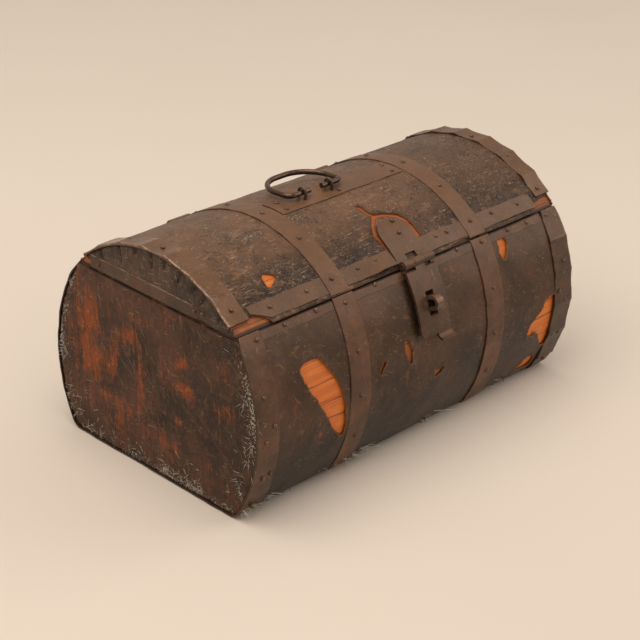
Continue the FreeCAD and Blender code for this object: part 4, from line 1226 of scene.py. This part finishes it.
for side in (-1, 1):
    for spot, inset in BAND_NAILS:
        nail(case_nails, case_side, side * (band_edge - inset), spot, BAND_LEVEL)
        nail(case_nails, case_side, side * (band_edge - inset), case_side.length - spot, BAND_LEVEL)
    nail_row(lid_nails, lid_side, BAND_MARGIN, lid_side.length - BAND_MARGIN,
             side * (band_edge - BAND_OUTER), BAND_LEVEL, False)
for node in CASE_STRIPS:
    nail_row(case_nails, case_side, low(node).x + CASE_STRIP_ROW[0], high(node).x - CASE_STRIP_ROW[1],
             CASE_STRIP_LINE, STRIP_TOP)
for node in LID_STRIPS:
    nail_row(lid_nails, lid_side, low(node).x + LID_STRIP_ROW[0], high(node).x - LID_STRIP_ROW[1],
             LID_STRIP_LINE, STRIP_TOP)
for side, node in ((-1, "left_lid_end_strip"), (1, "right_lid_end_strip")):
    middle = (low(node).z + high(node).z - END_STRIP_TRIM) / 2
    for spot in END_NAILS:
        nail(lid_nails, end_face(side), spot, middle, END_LEVEL)
for spot in RIDGE_NAILS:
    nail(lid_nails, lid_side, spot, ridge_place - RIDGE_LINE, RIDGE_TOP)
    nail(lid_nails, lid_side, spot + RIDGE_SHIFT, ridge_place + RIDGE_LINE, RIDGE_TOP)
for across, spot in LEAF_NAILS:
    nail(lid_nails, lid_side, across, spot, LEAF_TOP)
case_nails.make("case_nails", "case", nail_iron, "fitting_iron")
lid_nails.make("lid_nails", "lid", nail_iron, "fitting_iron")

# %% [markdown]
# ## Hair
# The hide was put on with its hair, and stiff whitish bristles are left where hands never rubbed them: along
# the borders of the ends. A hair system would be quick, but it isn't a mesh when the model is carried
# elsewhere, so each bristle is a thin tube that bends from its root and runs out to a point.

# %% Bristles on the ends
BRISTLE_RADIUS = 0.2
BRISTLE_SHARES = np.array([0.0, 0.35, 0.7, 1.0])[:, None]
BRISTLE_TAPER = np.array([1.0, 0.9, 0.6, 0.12])[:, None, None]
BRISTLE_SIDES = 3
FLOOR_GAP = 0.3
SLANT = (0.31, 0.52, 0.79)
BORDER_MARGIN = 10.0
BARE_BELOW = -0.12
hair_dice = np.random.default_rng(11)


def bristle(work, root, way, fall, length, radius=BRISTLE_RADIUS):
    """One bristle from its root, bending from one way towards another, all in millimetres."""
    spine = root + length * (BRISTLE_SHARES * way + BRISTLE_SHARES**2 * fall)
    spine[:, 2] = np.maximum(spine[:, 2], FLOOR_GAP + radius)
    turn = np.linspace(0, 2 * math.pi, BRISTLE_SIDES, endpoint=False)[:, None]
    first = np.cross(way, SLANT)
    first /= np.linalg.norm(first)
    second = np.cross(way, first)
    ring = radius * BRISTLE_TAPER * (np.cos(turn) * first + np.sin(turn) * second)
    work.tube((spine[:, None, :] + ring) * MM, 0.0)


def border_bristles(work, side, count, seed):
    """Bristles in patches along the front, bottom and back border of an end."""
    places = hair_dice.uniform(BORDER_MARGIN, case_side.length - BORDER_MARGIN, count)
    insets = hair_dice.gamma(2.0, 4.5, count)
    for along, inset in zip(places, insets):
        if ripple(along, inset, 30, seed) < BARE_BELOW:
            continue
        root = case_side(side * (half_length + HIDE_TOP - 0.9), along, HIDE_TOP - 1.5 - inset) / MM
        outer = case_side(0, along, 10.0) / MM - case_side(0, along, 9.0) / MM
        along_way = np.cross(outer, (1, 0, 0)) * hair_dice.normal(0, 0.7)
        way = outer * hair_dice.normal(0.1, 0.5) + along_way + np.array([side * 0.4, 0, 0])
        fall = np.array([-side * 0.34, 0, -0.15]) + hair_dice.normal(0, 0.55, 3) * (0.1, 1, 1)
        length = min(hair_dice.uniform(2, 8), max(0.5 * root[2] - FLOOR_GAP, FLOOR_GAP))
        bristle(work, root, way / np.linalg.norm(way), fall, length)


for side, name, count, seed in ((-1, "left", 1700, 141), (1, "right", 1000, 145)):
    work = Gathered()
    border_bristles(work, side, count, seed)
    work.make(f"{name}_end_bristles", "case", old_hair, "end_hide")

# %% [markdown]
# ## Rags and tufts at the foot
# Where the front turns under, the hide has worn through and hangs in small rags, and tufts of hair stand
# out, most of them beside the left strap and at the left corner. A rag is a short thick bristle in the
# finish of the hide, so the same helper makes it. Each row is a place, a spread and a count.

# %% Rags and tufts
TUFT_RADIUS = 0.32
TUFTS = [(-88, 12, 64), (-70, 6, 20), (-128, 5, 6), (-240, 9, 48), (-214, 8, 16), (30, 5, 10), (148, 6, 8)]
RAGS = [(-240, 8, 9), (-226, 5, 5), (-205, 16, 4), (-84, 8, 3), (28, 4, 5), (166, 10, 3)]


def foot_roots(rows):
    """Places where the front turns under, one after the other."""
    for middle, spread, count in rows:
        for x in hair_dice.normal(middle, spread, count):
            along = front_depth + hair_dice.uniform(-0.8, 0.4) * corner_length
            yield case_side(np.clip(x, -half_length, half_length), along, HIDE_TOP - 0.5) / MM


tufts, rags = Gathered(), Gathered()
for root in foot_roots(TUFTS):
    aside = np.clip(hair_dice.normal(0.2, 0.7), -0.4, 1.3)
    forward = min(abs(hair_dice.normal(0.5, 0.4)), 0.9)
    length = hair_dice.uniform(7, 19)
    rise = max(0.4 - root[2], -0.45 * length) / length
    fall = np.array([hair_dice.uniform(-0.3, 0.5), 0, hair_dice.uniform(rise, 0.2)])
    bristle(tufts, root, np.array([aside, -forward, 0.0]), fall, length, TUFT_RADIUS)
for root in foot_roots(RAGS):
    aside = np.clip(hair_dice.normal(0, 0.5), -0.8, 0.8)
    length = hair_dice.uniform(4, 9)
    fall = np.array([0, 0, max(0.9 - root[2], -0.5 * length) / length])
    bristle(rags, root, np.array([aside, -0.5, -0.05]), fall, length, hair_dice.uniform(0.5, 1.1))
tufts.make("foot_tufts", "case", pale_hair, "wrap_hide")
rags.make("foot_rags", "case", front_hide, "wrap_hide")

# %% [markdown]
# ## Pieces kept from the frame
# Boards, hasp, staple, bail and pins already have the right shape. They only get their finish, and the
# forged fittings a small bevel, because no hand-made edge is sharp.

# %% Finishes of the kept pieces
FITTINGS = {"hasp": strip_iron, "hasp_leaf": strip_iron, "hasp_pin": fitting_iron,
            "padlock_staple": staple_iron, "bail": handled_iron,
            "left_hinge_pin": fitting_iron, "right_hinge_pin": fitting_iron,
            "left_handle_eye": fitting_iron, "right_handle_eye": fitting_iron}
BEVEL_WIDTH, BEVEL_ANGLE = 0.45, 40
for name, thing in nodes.items():
    if name.endswith("board") or "stave" in name or name in FITTINGS:
        thing.data.materials.clear()
        thing.data.materials.append(FITTINGS.get(name, aged_pine))
    if name in FITTINGS:
        bevel = thing.modifiers.new("worn edges", "BEVEL")
        bevel.width, bevel.segments, bevel.limit_method = BEVEL_WIDTH * MM, 2, "ANGLE"
        bevel.angle_limit = math.radians(BEVEL_ANGLE)
print("kept", len(FITTINGS), "fittings and the boards")

# %% [markdown]
# ## Floor
# The casket stands on a plain pale floor, wide enough to fill the view from any side. A slow cloud in its
# colour keeps it from looking like flat paper. From here on places are in metres.

# %% Floor
FLOOR_HALF = 9.0


def floor_finish():
    finish = Finish("pale_floor")
    finish.colour = finish.mix(finish.noise(500, 3), paint(233, 217, 200), paint(239, 223, 207))
    return finish.done(Roughness=0.9)


corners = [(x * FLOOR_HALF, y * FLOOR_HALF, 0) for x, y in ((-1, -1), (1, -1), (1, 1), (-1, 1))]
floor = mesh_piece("studio_floor", corners, [(0, 1, 2, 3)], {})
floor.data.materials.append(floor_finish())
print("the floor is", 2 * FLOOR_HALF, "m wide")

# %% [markdown]
# ## Light
# The light is soft, as in a studio: a large lamp above the left end, a weaker one at the right front and
# an even sky for the rest. Large lamps give the wide soft gleam that the greasy hide shows.

# %% Light
SKY_STRENGTH = 0.46
LAMPS = {"top_lamp": (40.0, 2.6, (-0.8, 0.2, 2.3)), "side_lamp": (22.0, 2.4, (2.4, -1.4, 1.6))}
TARGET = Vector((0, 0, 0.12))
world = bpy.data.worlds.new("studio")
world.use_nodes = True
sky = world.node_tree.nodes["Background"]
sky.inputs["Color"].default_value = (*paint(255, 250, 243), 1)
sky.inputs["Strength"].default_value = SKY_STRENGTH
bpy.context.scene.world = world
for name, (power, size, place) in LAMPS.items():
    lamp = bpy.data.objects.new(name, bpy.data.lights.new(name, "AREA"))
    lamp.data.energy, lamp.data.size = power, size
    lamp.data.color = paint(255, 249, 241)
    lamp.location = place
    lamp.rotation_euler = (TARGET - Vector(place)).to_track_quat("-Z", "Y").to_euler()
    bpy.context.scene.collection.objects.link(lamp)
print("lit by", " and ".join(LAMPS), "under a sky of strength", SKY_STRENGTH)

# %% [markdown]
# ## Camera
# The camera looks down at the left front corner from about two metres, a little rolled. Its place and its
# angles were found from the casket's edges and corners, so it is set from the angles and not by a target.

# %% Camera
CAMERA_PLACE = Vector((-1.34785, -1.21909, 1.01264))
CAMERA_AZIMUTH, CAMERA_HEIGHT, CAMERA_ROLL = -0.83354, 0.46862, 0.05525
LENS, SENSOR = 103.92, 36.0
flat = math.cos(CAMERA_HEIGHT)
behind = Vector((math.sin(CAMERA_AZIMUTH) * flat, -math.cos(CAMERA_AZIMUTH) * flat, math.sin(CAMERA_HEIGHT)))
right = (-behind).cross(Vector((0, 0, 1))).normalized()
up = right.cross(-behind)
turn = Matrix((right, up, behind)).transposed() @ Matrix.Rotation(CAMERA_ROLL, 3, "Z")
camera = bpy.data.objects.new("camera", bpy.data.cameras.new("camera"))
camera.data.lens, camera.data.sensor_width = LENS, SENSOR
camera.matrix_world = Matrix.Translation(CAMERA_PLACE) @ turn.to_4x4()
bpy.context.scene.collection.objects.link(camera)
bpy.context.scene.camera = camera
bpy.context.scene.view_settings.view_transform = "Standard"
print("the camera stands", round((CAMERA_PLACE - TARGET).length, 2), "m away, with a lens of", LENS, "mm")
